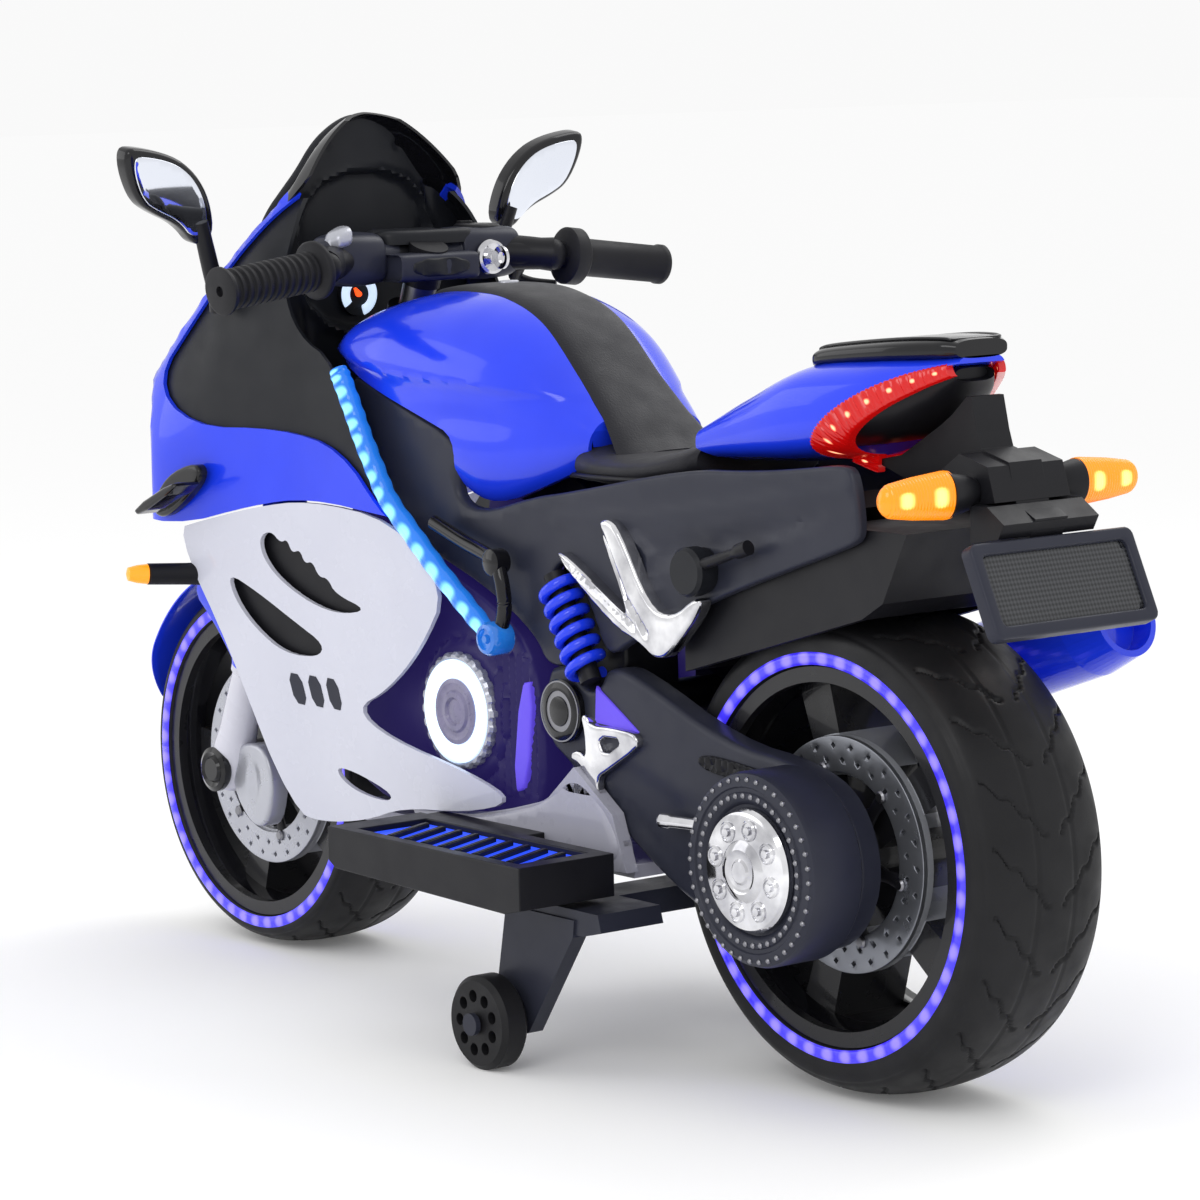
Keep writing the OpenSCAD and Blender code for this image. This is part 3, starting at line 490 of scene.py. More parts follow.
# Section tables from front to back; each row is x, half width, lowest z, highest z and squareness
skins = {
    "body": [[930, 60, 425, 515, 2.2], [900, 98, 405, 542, 2.2], [850, 136, 350, 586, 2.3],
             [800, 152, 230, 634, 2.4], [745, 148, 120, 690, 2.8], [690, 138, 70, 712, 3.4],
             [600, 124, 60, 680, 3.8], [500, 118, 60, 640, 4], [320, 108, 60, 640, 4]],
    "tank": [[612, 84, 530, 568, 2.6], [575, 100, 505, 590, 2.6], [525, 106, 470, 603, 2.6],
             [470, 105, 440, 607, 2.6], [420, 101, 418, 603, 2.6], [370, 92, 425, 584, 2.6],
             [320, 76, 446, 540, 2.6], [288, 60, 470, 512, 2.6]],
    "seat": [[338, 46, 452, 500, 2.6], [310, 60, 454, 492, 2.8], [265, 74, 456, 484, 3],
             [205, 78, 458, 486, 3], [160, 72, 462, 496, 3], [146, 64, 466, 500, 3]],
    "tail": [[145, 66, 484, 516, 3], [90, 72, 486, 542, 3], [30, 74, 490, 566, 3], [-40, 64, 502, 574, 3],
             [-85, 44, 528, 576, 3], [-112, 24, 552, 577, 3]],
    "pad": [[36, 38, 560, 572, 3], [20, 46, 562, 580, 3], [-50, 46, 568, 588, 3], [-95, 36, 572, 590, 3],
            [-112, 26, 574, 588, 3]],
    "screen": [[820, 60, 450, 606, 1.8], [783, 84, 448, 645, 1.7], [735, 104, 445, 698, 1.6],
               [700, 114, 443, 736, 1.6], [672, 118, 443, 756, 1.6], [640, 120, 443, 756, 1.6]],
}

# Outlines of the painted bodywork, in x and z
bodywork = {
    "cowlEdge": [[499, 421], [555, 473], [635, 487], [747, 483], [804, 523], [760, 570], [641, 698],
                 [650, 720], [760, 715], [860, 640], [945, 520], [945, 430], [900, 405], [768, 394],
                 [669, 419], [600, 429], [487, 420]],
    "fairingEdge": [[768, 392], [735, 401], [669, 417], [600, 427], [485, 418], [416, 365], [453, 311],
                    [498, 273], [543, 253], [500, 232], [393, 214], [339, 196], [400, 180], [487, 174],
                    [540, 156], [608, 146], [642, 152], [702, 288]],
    "upperSlot": [[662, 392], [648, 398], [636, 388], [628, 392], [622, 380], [612, 384], [606, 372],
                  [596, 375], [588, 362], [576, 362], [566, 349], [521, 339], [560, 332], [600, 338],
                  [640, 356], [660, 376]],
    "lowerSlot": [[703, 358], [668, 344], [620, 320], [583, 304], [592, 292], [636, 292], [672, 312],
                  [696, 336]],
    "footSlot": [[574, 200], [540, 196], [498, 184], [506, 176], [548, 180], [572, 190]],
    "tankEdge": [[612, 556], [575, 535], [520, 518], [470, 503], [424, 489], [438, 448], [405, 431],
                 [329, 456], [284, 478], [284, 620], [620, 620]],
    "screenEdge": [[650, 692], [656, 716], [672, 764], [900, 764], [900, 590], [700, 640]],
    "linerEdge": [[574, 546], [520, 452], [512, 432], [556, 468], [640, 480], [745, 476], [812, 518],
                  [772, 576], [664, 694], [648, 660], [646, 610], [620, 566]],
    "wall": 3.5,
}


# Cutter: a box over the rim's middle, under the screen
def rimCutter():
    box = np.array([[-83, 640], [83, 640], [83, 740], [-83, 740.0]])
    return tubeMesh("rimCut", np.stack([np.stack([np.full(4, x), box[:, 0], box[:, 1]], 1)
                                        for x in (580.0, 700.0)]))


rim = {"z": [400, 523, 570, 640, 668, 693, 733, 757], "x": [804, 804, 760, 697, 672, 662, 664, 672],
       "y": [153, 153, 150, 126, 112, 92, 60, 20], "fall": 1.24}


# Nose form: ahead of the rim the side reaches only the rim's half width less fall x distance ahead, so the
# side is scaled to that reach
def noseForm(table):
    def form(grid):
        x, y, z = grid[..., 0], grid[..., 1], grid[..., 2]
        ahead = np.maximum(x - np.interp(z, rim["z"], rim["x"]), 0)
        reach = np.interp(z, rim["z"], rim["y"]) - rim["fall"] * ahead
        reach = 14 + np.logaddexp(0, (reach - 14) / 9) * 9
        skin = np.maximum(sideOut(table, x.ravel(), z.ravel()).reshape(x.shape), 1)
        low = np.clip((z - 385) / 40, 0, 1)
        out = grid.copy()
        out[..., 1] = y * (1 - low * (1 - np.minimum(1, reach / skin)))
        return out
    return form


lampLine = [[906, 474], [884, 466], [842, 486], [832, 516], [846, 532], [880, 512]]
addPiece("frontCowl", panelMesh("frontCowl", skins["body"], bodywork["cowlEdge"], [lampLine],
                                wall=bodywork["wall"], also=[rimCutter()], shape=noseForm(skins["body"])),
                paints["bluePaint"], "chassis", ["front_cowl"])
slots = [bodywork[k] for k in ("upperSlot", "lowerSlot", "footSlot")]
sides = [("Left", 1), ("Right", -1)]
for label, turn in sides:
    addPiece("sideFairing" + label, panelMesh("sideFairing", skins["body"], bodywork["fairingEdge"], slots,
                                              0.0, 4.0, turn),
             paints["pearlPaint"], "chassis", ["side_fairing_" + label.lower()])
    behind = [[690, 412], [640, 412], [560, 380], [500, 345], [520, 320], [570, 280], [640, 270],
              [712, 300], [722, 372]]
    addPiece("fairingLiner" + label, panelMesh("fairingLiner" + label, skins["body"], behind, (), 9.0, 3.0,
                                               turn, 60, 96),
             paints["satinBlack"], "chassis")
    addPiece("headlamp" + label, panelMesh("headlamp", skins["body"], lampLine, (), 1.2, 3.0, turn, 90, 120,
                                           shape=noseForm(skins["body"])),
             paints["clearLens"], "chassis", ["headlamps"] if turn == 1 else ())
    for bar, start in enumerate((0, 24, 48)):
        mark = [[632 - start, 276], [616 - start, 275], [608 - start, 249], [624 - start, 250]]
        addPiece(f"flankBar{label}{bar}", panelMesh("flankBar", skins["body"], mark, (), -0.5, 0.9, turn,
                                                    60, 96, rounds=1), paints["charcoalPlastic"])
    addPiece("innerCowl" + label, panelMesh("innerCowl", skins["body"], bodywork["linerEdge"], (), 4.6, 3.0,
                                            turn, 80, 120, shape=noseForm(skins["body"])),
             paints["linerPlastic"], "chassis")
print("cowl and fairings made")


# Tank form: half width x (1 - 0.045 step - 0.05 hollow), the step 8 mm deep below a crease line and the
# hollow a bell 26 mm under it
def tankForm(grid):
    x, y, z = grid[..., 0], grid[..., 1], grid[..., 2]
    crease = np.interp(x, [300, 430, 520, 612], [528, 536, 540, 556])
    step = np.clip((crease - z) / 8, 0, 1)
    step = step * step * (3 - 2 * step)
    hollow = np.exp(-((z - (crease - 26)) / 26) ** 2) * np.clip((x - 300) / 80, 0, 1)
    out = grid.copy()
    out[..., 1] = y * (1 - 0.045 * step - 0.05 * hollow)
    return out


addPiece("tankCover", panelMesh("tankCover", skins["tank"], bodywork["tankEdge"], (), 0.0, 3.5, rows=120,
                                around=160, shape=tankForm),
         paints["bluePaint"], "chassis", ["tank_cover"])
strip = {"from": 532.0, "to": 250.0, "lift": 3.6, "rows": 110, "cols": 40}


# Strip: z = tank top + lift x (1 - |share|^8), closed below one millimetre under the tank skin
def stripGrid():
    x = np.linspace(strip["from"], strip["to"], strip["rows"])[:, None]
    share = np.linspace(-1, 1, strip["cols"])[None, :]
    half = np.interp(x, [250, 290, 322, 380, 470, 532], [56, 44, 41, 40, 38, 34])
    y = half * share
    top = topUp(skins["tank"], np.maximum(x + 0 * y, 290).ravel(), y.ravel()).reshape(y.shape)
    top = top + np.interp(x, [250, 262, 276, 290], [-34, -25, -12, 0])
    upper = np.stack([x + 0 * y, y, top + strip["lift"] * (1 - np.abs(share) ** 8) + 0.2 + 0 * y], -1)
    lower = np.stack([x + 0 * y, y, top - 1.0], -1)[:, ::-1]
    return np.concatenate([upper, lower], 1)


addPiece("tankStrip", tubeMesh("tankStrip", stripGrid(), 50), paints["seatVinyl"], "chassis",
         ["tank_strip"])
addPiece("stripTab", moulding("stripTab", [[478, -9], [466, -9], [466, 9], [478, 9]], 606, 612.6, 1.5,
                              plane="top", spacing=4.0, rounds=1),
         paints["silverPaint"])

saddle = {"crown": 5.0, "dip": 6.0, "pipe": 2.2, "fill": 0.8}


# Saddle form: top crowned by crown x (1 - share^2), dipped along the length, sides drawn in near the base
def saddleForm(grid):
    x, y, z = grid[..., 0], grid[..., 1], grid[..., 2]
    w, low, high, _ = (v.reshape(x.shape) for v in sectionAt(skins["seat"], x.ravel()))
    upper = np.clip((z - (low + high) / 2) / ((high - low) / 2), 0, 1)
    out = grid.copy()
    along = np.clip((x - 146) / (338 - 146), 0, 1)
    rise = (saddle["crown"] - saddle["dip"] * np.sin(np.pi * along)) * (1 - (y / w) ** 2)
    out[..., 2] = z + upper * rise
    pinch = np.exp(-((z - (low + 9)) / 5.0) ** 2)
    out[..., 1] = y * (1 - 0.035 * pinch)
    return out


seatGrid = saddleForm(loftGrid(skins["seat"], 110, 144))
seat = addPiece("saddle", tubeMesh("saddle", seatGrid, 60), paints["seatVinyl"], "chassis",
                ["seat"])
pipeX = np.linspace(330, 150, 60)
for label, turn in sides:
    w, low, high, p = sectionAt(skins["seat"], pipeX)
    path = np.stack([pipeX, turn * (w * 0.985), low + 9.0], 1)
    addPiece("saddlePiping" + label, tubeMesh("saddlePiping", sweptGrid(path, saddle["pipe"], 10)),
             paints["satinBlack"])


lampBand = {"spine": [[-2, 487], [-6, 503], [-22, 522], [-50, 541], [-80, 556], [-106, 566]],
            "half": [15, 14.5, 12, 9.5, 7.5, 5.0], "rows": 120, "cols": 24, "ribs": 46, "deep": 7.0}


# Lamp skin: x, z = spine + share x half width x normal, y = side of the tail there plus a rib ripple, and a
# copy set deeper closes it behind
def lampParts(turn):
    t = np.linspace(0, len(lampBand["spine"]) - 1, lampBand["rows"])
    spine = smoothRows(lampBand["spine"], t)
    half = np.interp(t, np.arange(len(lampBand["half"])), lampBand["half"])[:, None]
    tangent = np.gradient(spine, axis=0)
    tangent /= np.linalg.norm(tangent, axis=1)[:, None]
    normal = np.stack([tangent[:, 1], -tangent[:, 0]], 1)
    share = np.linspace(-1, 1, lampBand["cols"])[None, :]
    x = spine[:, 0][:, None] + share * half * normal[:, 0][:, None]
    z = spine[:, 1][:, None] + share * half * normal[:, 1][:, None]
    y = sideOut(skins["tail"], x.ravel(), z.ravel()).reshape(x.shape)
    ripple = 0.5 * np.cos(2 * np.pi * lampBand["ribs"] * t / t[-1])[:, None]
    y = np.maximum(y, 20) + 0.8 + ripple - 1.2 * share**8
    outer = np.stack([x, y, z], -1)
    inner = np.stack([x, y - lampBand["deep"], z], -1)[:, ::-1]
    grid = np.concatenate([outer, inner], 1)
    u = (t / t[-1])[:, None] + 0 * grid[..., 0]
    v = np.concatenate([(share + 1) / 2, (share[:, ::-1] + 1) / 2], 1) + 0 * grid[..., 0]
    grid[..., 1] *= turn
    return grid, np.stack([u, v], -1).reshape(-1, 2)


# Mesh of a wrapped grid that keeps its own map, with its faces turned outwards afterwards
def mappedTube(name, grid, share, sharp=45):
    rows, cols = grid.shape[:2]
    faces = gridFaces(rows, cols, wrapCols=True)
    faces += [list(range(cols)), list(range((rows - 1) * cols, rows * cols))[::-1]]
    mesh = meshOf(name, grid, faces, tidyUp=False, sharp=sharp)
    mapAlong(mesh, share)
    turnFacesOut(mesh)
    return mesh


redLamp = spotFinish("redLamp", (0.50, 0.003, 0.003), (1.0, 0.42, 0.22), 9, 2.4, 0.42, 0.15, 0.16)
for label, turn in sides:
    grid, share = lampParts(turn)
    addPiece("tailLamp" + label, mappedTube("tailLamp", grid, share), redLamp, "chassis",
             ["tail_lamps"] if turn == 1 else ())
tailCut = [[6, 478], [14, 500], [2, 514], [-24, 532], [-52, 549], [-82, 562], [-114, 572], [-130, 570],
           [-130, 478]]
tailEdge = [[160, 470], [160, 600], [-130, 600], [-130, 470]]
addPiece("tailCowl", panelMesh("tailCowl", skins["tail"], tailEdge, [tailCut], rows=110, around=144,
                               rounds=1),
         paints["bluePaint"], "chassis", ["tail_cowl"])
tailCore = [[58, 66, 484, 548, 3]] + skins["tail"][2:5] + [[-106, 27, 549, 575, 3]]
addPiece("tailCore", tubeMesh("tailCore", loftGrid(tailCore, 60, 96, 8.5)), paints["satinBlack"])
addPiece("tailPad", tubeMesh("tailPad", loftGrid(skins["pad"], 80, 96), 50), paints["glossBlack"],
         "chassis", ["tail_pad"])
padRimX = np.linspace(30, -106, 70)
w, low, high, p = sectionAt(skins["pad"], padRimX)
rimHalf = np.stack([padRimX, w * 0.80, topUp(skins["pad"], padRimX, w * 0.80) + 0.6], 1)
padRim = evenly(np.vstack([rimHalf, (rimHalf * (1, -1, 1))[::-1]]), 3.0)
ring = sweptGrid(np.vstack([padRim, padRim[:1]]), 1.5, 8)
addPiece("tailPadRim", tubeMesh("tailPadRim", ring), paints["glossBlack"])
print("seat and tail made")

bodySolid = tubeMesh("bodySolid", noseForm(skins["body"])(loftGrid(skins["body"], 90, 120, 1.5)))
addPiece("windscreen", panelMesh("windscreen", skins["screen"], bodywork["screenEdge"], (), 0.0, 3.0,
                                 rows=80, around=128, also=[bodySolid], shape=noseForm(skins["screen"])),
         paints["glossBlack"], "chassis", ["windscreen"])
cockpit = {"dome": [[-112, 500], [-113, 640], [-100, 668], [-79, 691], [-66, 705], [-49, 728], [-29, 743],
                    [-10, 751], [10, 751], [29, 743], [49, 728], [66, 705], [79, 691], [100, 668],
                    [113, 640], [112, 500]],
           "box": [[-70, 560], [-72, 703], [72, 703], [70, 560]], "screws": [[-38, 724], [38, 724]]}


# Cockpit panel relief: raised border round the box, sunk middle, two screw wells, soft vertical folds
def cockpitRelief(y, z):
    p = np.stack([y, z], 1)
    box = roundOutline(cockpit["box"], 2)
    d = edgeDistance(p, box)
    inside = insideOutline(p, box)
    border = 4.5 * np.exp(-(d / 4.0) ** 2)
    well = sum(-2.5 * np.exp(-(((y - s[0]) ** 2 + (z - s[1]) ** 2) / 16.0) ** 2) for s in cockpit["screws"])
    folds = -3.0 * np.exp(-((np.abs(y) - 66 - (z - 640) * 0.05) / 5.0) ** 2)
    return border - 5.0 * inside * np.clip(d / 4, 0, 1) + well + folds * (z < 690)


addPiece("cockpitPanel", moulding("cockpitPanel", cockpit["dome"], -690, -683, 5, plane="rear",
                                  relief=cockpitRelief, spacing=3.2),
         paints["linerPlastic"], "chassis", ["inner_cowl"])
gaugeRing = {"centre": (689.0, 8.0, 594.0), "outer": 19.0, "inner": 10.0, "gap": 70.0}


# Open ring: angle runs from half the gap to 360 less it, the section a flat oval bar facing the rider
def gaugeGrid():
    a = np.radians(np.linspace(gaugeRing["gap"] / 2, 360 - gaugeRing["gap"] / 2, 70) - 110)[:, None]
    c = np.linspace(0, 2 * np.pi, 16, endpoint=False)[None, :]
    outer, inner = gaugeRing["outer"], gaugeRing["inner"]
    r = (outer + inner) / 2 + (outer - inner) / 2 * np.cos(c)
    x, y, z = gaugeRing["centre"]
    return np.stack([x - 7.6 - 1.6 * np.sin(c) + 0 * a, y - r * np.cos(a), z + r * np.sin(a)], -1)


addPiece("gaugeRing", tubeMesh("gaugeRing", gaugeGrid()), paints["whiteLamp"], "chassis")
flatNeedle = evenly([[0, -3], [2.4, -2.2], [3, 0], [1, 8], [-1, 8], [-3, 0], [-2.4, -2.2]], 1.0)
across, along = flatNeedle[:, 0], flatNeedle[:, 1]
needle = np.stack([681.4 + 0 * across, 8 + across * 0.9 + along * 0.5, 594 + along * 0.7 - across * 0.4], 1)
addPiece("gaugeNeedle", tubeMesh("gaugeNeedle", np.stack([needle, needle + (1.6, 0, 0)])),
         finish("redGlow", (0.9, 0.05, 0.01), (1.0, 0.1, 0.02), 0.3, glow=(1.0, 0.08, 0.01), glowPower=1.6))

bars = {"gripIn": (567.0, 120.0, 626.0), "gripOut": (558.0, 234.0, 612.0), "grip": 16.2}


# Dash housing: squared ovals carried across the vehicle; each row is y, middle x, middle z, half x, half
# z, squareness
def crossLoft(name, rows, count=64, steps=90):
    rows = np.asarray(rows, float)
    s = smoothRows(rows, np.linspace(0, len(rows) - 1, steps))
    a = np.linspace(0, 2 * np.pi, count, endpoint=False)[None, :]
    y, cx, cz, hx, hz, p = (s[:, k][:, None] for k in range(6))
    x = cx + hx * np.sign(np.cos(a)) * np.abs(np.cos(a)) ** (2 / p)
    z = cz + hz * np.sign(np.sin(a)) * np.abs(np.sin(a)) ** (2 / p)
    return tubeMesh(name, np.stack([x, y + 0 * a, z], -1), 50)


addPiece("dashHousing", crossLoft("dashHousing", [[-102, 604, 632, 12, 12, 3], [-96, 606, 630, 20, 21, 3],
                                                  [-70, 612, 629, 27, 23, 3.4],
                                                  [-44, 618, 629, 28, 22, 3.4], [-38, 620, 626, 26, 18, 3],
                                                  [0, 622, 626, 27, 17, 3], [38, 620, 626, 26, 18, 3],
                                                  [44, 618, 629, 28, 22, 3.4], [70, 612, 629, 27, 23, 3.4],
                                                  [96, 606, 630, 20, 20, 3], [102, 602, 632, 11, 11, 3]]),
         paints["charcoalPlastic"], "steering", ["dash_pod"])
addPiece("dashBox", crossLoft("dashBox", [[-38, 588, 621, 16, 10, 5], [-35, 586, 621, 18, 12, 5],
                                          [35, 586, 621, 18, 12, 5], [38, 588, 621, 16, 10, 5]]),
         paints["charcoalPlastic"], "steering")
pod = {"lid": [[-30, 613], [-30, 629], [30, 629], [30, 613]], "buttons": [[598, -90], [596, -62],
                                                                          [610, -52], [634, -56],
                                                                          [640, -80], [622, -96]],
       "cap": [[594, -58], [590, -30], [594, 30], [612, 40], [640, 34], [648, 0], [640, -34], [612, -44]],
       "ring": [[9.5, 0], [14.5, 0], [15.5, 1.5], [14.5, 4.5], [12, 5.2], [9.5, 4]]}


# Lid relief: waves 1.2 sin(y / 5) over the middle of the lid
def lidRelief(y, z):
    return 1.2 * np.sin(y / 5.0) * (np.abs(y) < 20)


# Cap relief: one groove across, -2.5 exp(-((x - 618) / 5)^2)
def capRelief(x, y):
    return -2.5 * np.exp(-((x - 618) / 5.0) ** 2)


lid = moulding("dashBoxLid", pod["lid"], -570, -566.5, 2.0, plane="rear", spacing=5.0, rounds=1,
               relief=lidRelief)
addPiece("dashBoxLid", lid, paints["linerPlastic"], "steering")
addPiece("dashCap", moulding("dashCap", pod["cap"], 640, 652, 5, plane="top", spacing=5.0,
                             relief=capRelief),
         paints["linerPlastic"], "steering")
addPiece("buttonCluster", moulding("buttonCluster", pod["buttons"], 640, 654, 4, plane="top", spacing=4.0),
         paints["satinBlack"], "steering")
addPiece("dashWhiteEnd", crossLoft("dashWhiteEnd", [[78, 598, 650, 8, 6, 2.6], [82, 596, 650, 12, 9, 2.6],
                                                    [94, 594, 647, 11, 8, 2.6],
                                                    [100, 594, 645, 5, 4, 2.6]]),
         paints["silverPaint"], "steering")
addPiece("keyRing", tubeMesh("keyRing", turnedGrid(pod["ring"], (584.5, -64, 626), (-1, 0, 0), 64)),
         paints["chrome"], "steering")
gripAxis = np.subtract(bars["gripOut"], bars["gripIn"])
gripLong = float(np.linalg.norm(gripAxis))
steps = np.linspace(0.12, 0.95, 260) * gripLong
ribbed = bars["grip"] + 1.1 * np.clip(np.sin(steps * 2 * np.pi / 7.2) * 2.2, -1, 1)
leftFlange = [[0, 10], [24, 10], [25, 12], [25, 15], [23, 17], [17, 18.5]]
leftEnd = [[19.5, gripLong - 5], [20.5, gripLong - 3], [20.5, gripLong - 1], [18.5, gripLong],
           [4.5, gripLong], [4, gripLong - 6], [0, gripLong - 6]]
leftProfile = leftFlange + np.stack([ribbed, steps + 6], 1)[:-6].tolist() + leftEnd
leftGrid = turnedGrid(leftProfile, bars["gripIn"], gripAxis, 72)
addPiece("gripLeft", tubeMesh("gripLeft", leftGrid, 45), paints["gripRubber"], "steering",
         ["grip_left"])
rightIn, rightAxis = np.multiply(bars["gripIn"], (1, -1, 1)), gripAxis * (1, -1, 1)
rightProfile = [[0, 10], [22, 10], [25, 12], [25, 24], [22, 27], [17, 28.5], [16.6, 32],
                [16.4, gripLong - 8], [17.6, gripLong - 6], [17.6, gripLong - 1.5], [16.4, gripLong],
                [0, gripLong]]
addPiece("throttleGrip", tubeMesh("throttleGrip", turnedGrid(rightProfile, rightIn, rightAxis, 72), 45),
         paints["gripRubber"], "throttle", ["throttle_grip"])
for label, turn in sides:
    path = smoothRows([[610, turn * 66, 630], [603, turn * 82, 629], [590, turn * 100, 628],
                       [576, turn * 112, 627], [568, turn * 121, 626]],
                      np.linspace(0, 4, 30))
    radius = np.interp(np.arange(30), [0, 8, 22, 29], [17, 16, 14, 15])
    addPiece("barShroud" + label, tubeMesh("barShroud", sweptGrid(path, radius, 32)), paints["satinBlack"],
             "steering")
stubRun = smoothRows([[596, -104, 618], [612, -112, 606], [606, -124, 600], [590, -140, 598]],
                     np.linspace(0, 3, 24))
stubRadius = np.interp(np.arange(24), [0, 12, 23], [7, 5.5, 4])
addPiece("leverStub", tubeMesh("leverStub", sweptGrid(stubRun, stubRadius, 16)), paints["satinBlack"],
         "steering")
print("cockpit made")

# Outlines of the flank's pieces, in x and z
flank = {
    "cover": [[600, 541], [540, 452], [505, 398], [400, 368], [330, 332], [316, 308], [278, 313],
              [294, 344], [310, 375], [304, 390], [290, 397], [276, 393], [254, 358], [236, 322],
              [205, 340], [120, 374], [60, 396], [-52, 433], [-68, 440], [-72, 450], [-66, 490], [-54, 497],
              [0, 490], [60, 484], [135, 481], [288, 452], [330, 446], [405, 427], [437, 442], [421, 485],
              [520, 514]],
    "hollow": [[210, 392], [60, 424], [-30, 452], [-36, 462], [60, 446], [230, 412]],
    "arm": [[314, 306], [318, 250], [286, 232], [205, 176], [110, 128], [0, 115], [-52, 136], [-75, 190],
            [-52, 244], [0, 265], [90, 272], [200, 314], [234, 317], [243, 300], [258, 294], [271, 301],
            [278, 313], [296, 312]],
    "well": [[222, 296], [300, 288], [322, 384], [296, 412], [252, 404]],
    "armGroove": [[300, 238], [210, 204], [120, 152], [60, 132]],
    "engine": [[596, 210], [560, 166], [340, 166], [320, 200], [320, 262], [336, 326], [400, 360],
               [500, 390], [560, 436], [592, 436]],
    "wing": [[345, 190], [300, 202], [262, 234], [213, 201], [196, 156], [330, 150], [470, 150], [486, 172],
             [400, 178]],
    "hanger": [[290, 404], [276, 406], [206, 366], [192, 362], [232, 432], [220, 438], [204, 430],
               [168, 372], [138, 366], [108, 386], [100, 378], [142, 336], [160, 330], [180, 342],
               [214, 352]],
    "lever": [[259, 276], [252, 277], [247, 269], [218, 270], [192, 269], [185, 263], [188, 256],
              [226, 234], [239, 227], [236, 209], [246, 206], [251, 226], [262, 236], [272, 238],
              [273, 244], [262, 247], [253, 241], [254, 262]],
    "leverHole": [[238, 261], [202, 262], [229, 245]],
}


# Cover relief: a long hollow, a swage under the seat line and a soft outward swell
def coverRelief(x, z):
    p = np.stack([x, z], 1)
    hollow = roundOutline(flank["hollow"], 2)
    d = edgeDistance(p, hollow)
    dip = -3.0 * insideOutline(p, hollow) * np.clip(d / 5, 0, 1)
    line = edgeDistance(p, np.array([[300, 430], [200, 436], [100, 450], [-60, 478.0]]), closed=False)
    return dip + 1.6 * np.exp(-(line / 5.0) ** 2) + 2.0 * np.sin(np.clip((x - 300) / 300, 0, 1) * np.pi)


coverPoints, coverFaces = mouldingParts(flank["cover"], 79, 87, 3.5, relief=coverRelief, spacing=7.0)
for label, turn in sides:
    faces = coverFaces if turn == 1 else [f[::-1] for f in coverFaces]
    addPiece("sideCover" + label, meshOf("sideCover", coverPoints * (1, turn, 1), faces, sharp=40),
             paints["charcoalPlastic"], "chassis", ["side_cover_" + label.lower()])


# Arm relief: groove along the lower edge, a raised rib above it, a flat boss at the pivot
def armRelief(x, z):
    p = np.stack([x, z], 1)
    line = edgeDistance(p, smoothRows(flank["armGroove"], np.linspace(0, 3, 30)), closed=False)
    rib = edgeDistance(p, np.array([[285, 276], [180, 250], [90, 216.0]]), closed=False)
    return -2.2 * np.exp(-(line / 2.2) ** 2) + 1.8 * np.exp(-(rib / 16) ** 4)


addPiece("swingarmLeft", moulding("swingarmLeft", flank["arm"], 68, 89.6, 6, relief=armRelief, spacing=7.0),
         paints["charcoalPlastic"], "chassis", ["swingarm_left"])
pivotProfile = [[0, 0], [25, 0], [26, 2], [26, 6], [23, 8.2], [17, 8.6], [16, 6.4], [13, 6.2], [12, 8.4],
                [7, 9.4], [0, 9.6]]
pivots = [turnedGrid(pivotProfile, (286, turn * 90.3, 276), (0, turn, 0), 72) for turn in (1, -1)]
addPiece("pivotCaps", manyGrids("pivotCaps", pivots), paints["glossBlack"])


# Engine cover relief: five upright fins behind the lamp and a round seat for it
def engineRelief(x, z):
    fins = 3.0 * (np.abs(np.mod(x - 338, 9.0) - 4.5) < 2.2) * (x < 382) * (z > 196) * (z < 316)
    r = np.hypot(x - 426, z - 261)
    return fins + 2.5 * (r < 60) - 2.0 * np.exp(-((r - 60) / 3) ** 2)


# engine covers: their faint violet glow is painted light from the neighbouring lamps, not a lamp of their
# own
addPiece("engineCovers", moulding("engineCovers", flank["engine"], 60, 88.5, 4, pair=True,
                                  relief=engineRelief, spacing=3.6), paints["violetLitBlack"],
         "chassis", ["engine_block"])
addPiece("springWells", moulding("springWells", flank["well"], 56, 70, 3, pair=True, spacing=8.0),
         paints["satinBlack"])
engineLamp = {"middle": (426, 90.8, 261), "bezel": [[0, 0], [48, 0], [48.6, 2], [48.6, 6], [46.5, 8.4],
                                                    [44.5, 8.6], [44, 7], [0, 7]],
              "ring": [[0, 7.1], [43.4, 7.1], [43.4, 9.4], [40, 11], [31, 10.4], [28, 8.2], [0, 8]],
              "core": [[0, 8.1], [27.4, 8.1], [27.6, 9.4], [24, 10.2], [21, 8.8], [18, 9.0], [16, 10.8],
                       [12, 11.2], [10, 9.2], [5, 10.2], [0, 10.4]]}
for label, turn in sides:
    at = np.multiply(engineLamp["middle"], (1, turn, 1))
    bezel = turnedGrid(engineLamp["bezel"], at, (0, turn, 0), 144)
    ridge = 1 + 0.018 * np.sign(np.sin(np.arange(144) * np.pi / 3 + 0.4))
    bezel[1:5] = at + (bezel[1:5] - at) * (ridge[None, :, None] ** np.array([1, 0, 1]))
    addPiece("lampBezel" + label, tubeMesh("lampBezel", bezel, 30), paints["silverPaint"])
    lampRing = turnedGrid(engineLamp["ring"], at, (0, turn, 0), 120)
    addPiece("engineLamp" + label, tubeMesh("engineLamp", lampRing, 45), paints["whiteLamp"], "chassis",
             ["engine_lamps"] if turn == 1 else ())
    addPiece("lampCore" + label, tubeMesh("lampCore", turnedGrid(engineLamp["core"], at, (0, turn, 0), 72),
                                          30), paints["lampCore"])
violet = [[345, 292], [327, 296], [336, 208], [358, 199]]
addPiece("violetStrips", moulding("violetStrips", violet, 87, 93.5, 2.0, pair=True, spacing=4.0, rounds=1),
         paints["violetGlow"], "chassis")
addPiece("violetPanels", moulding("violetPanels", [[246, 300], [248, 270], [190, 268]], 88.4, 91.6, 1.2,
                                  pair=True, spacing=5.0, rounds=0),
         paints["violetGlow"], "chassis")
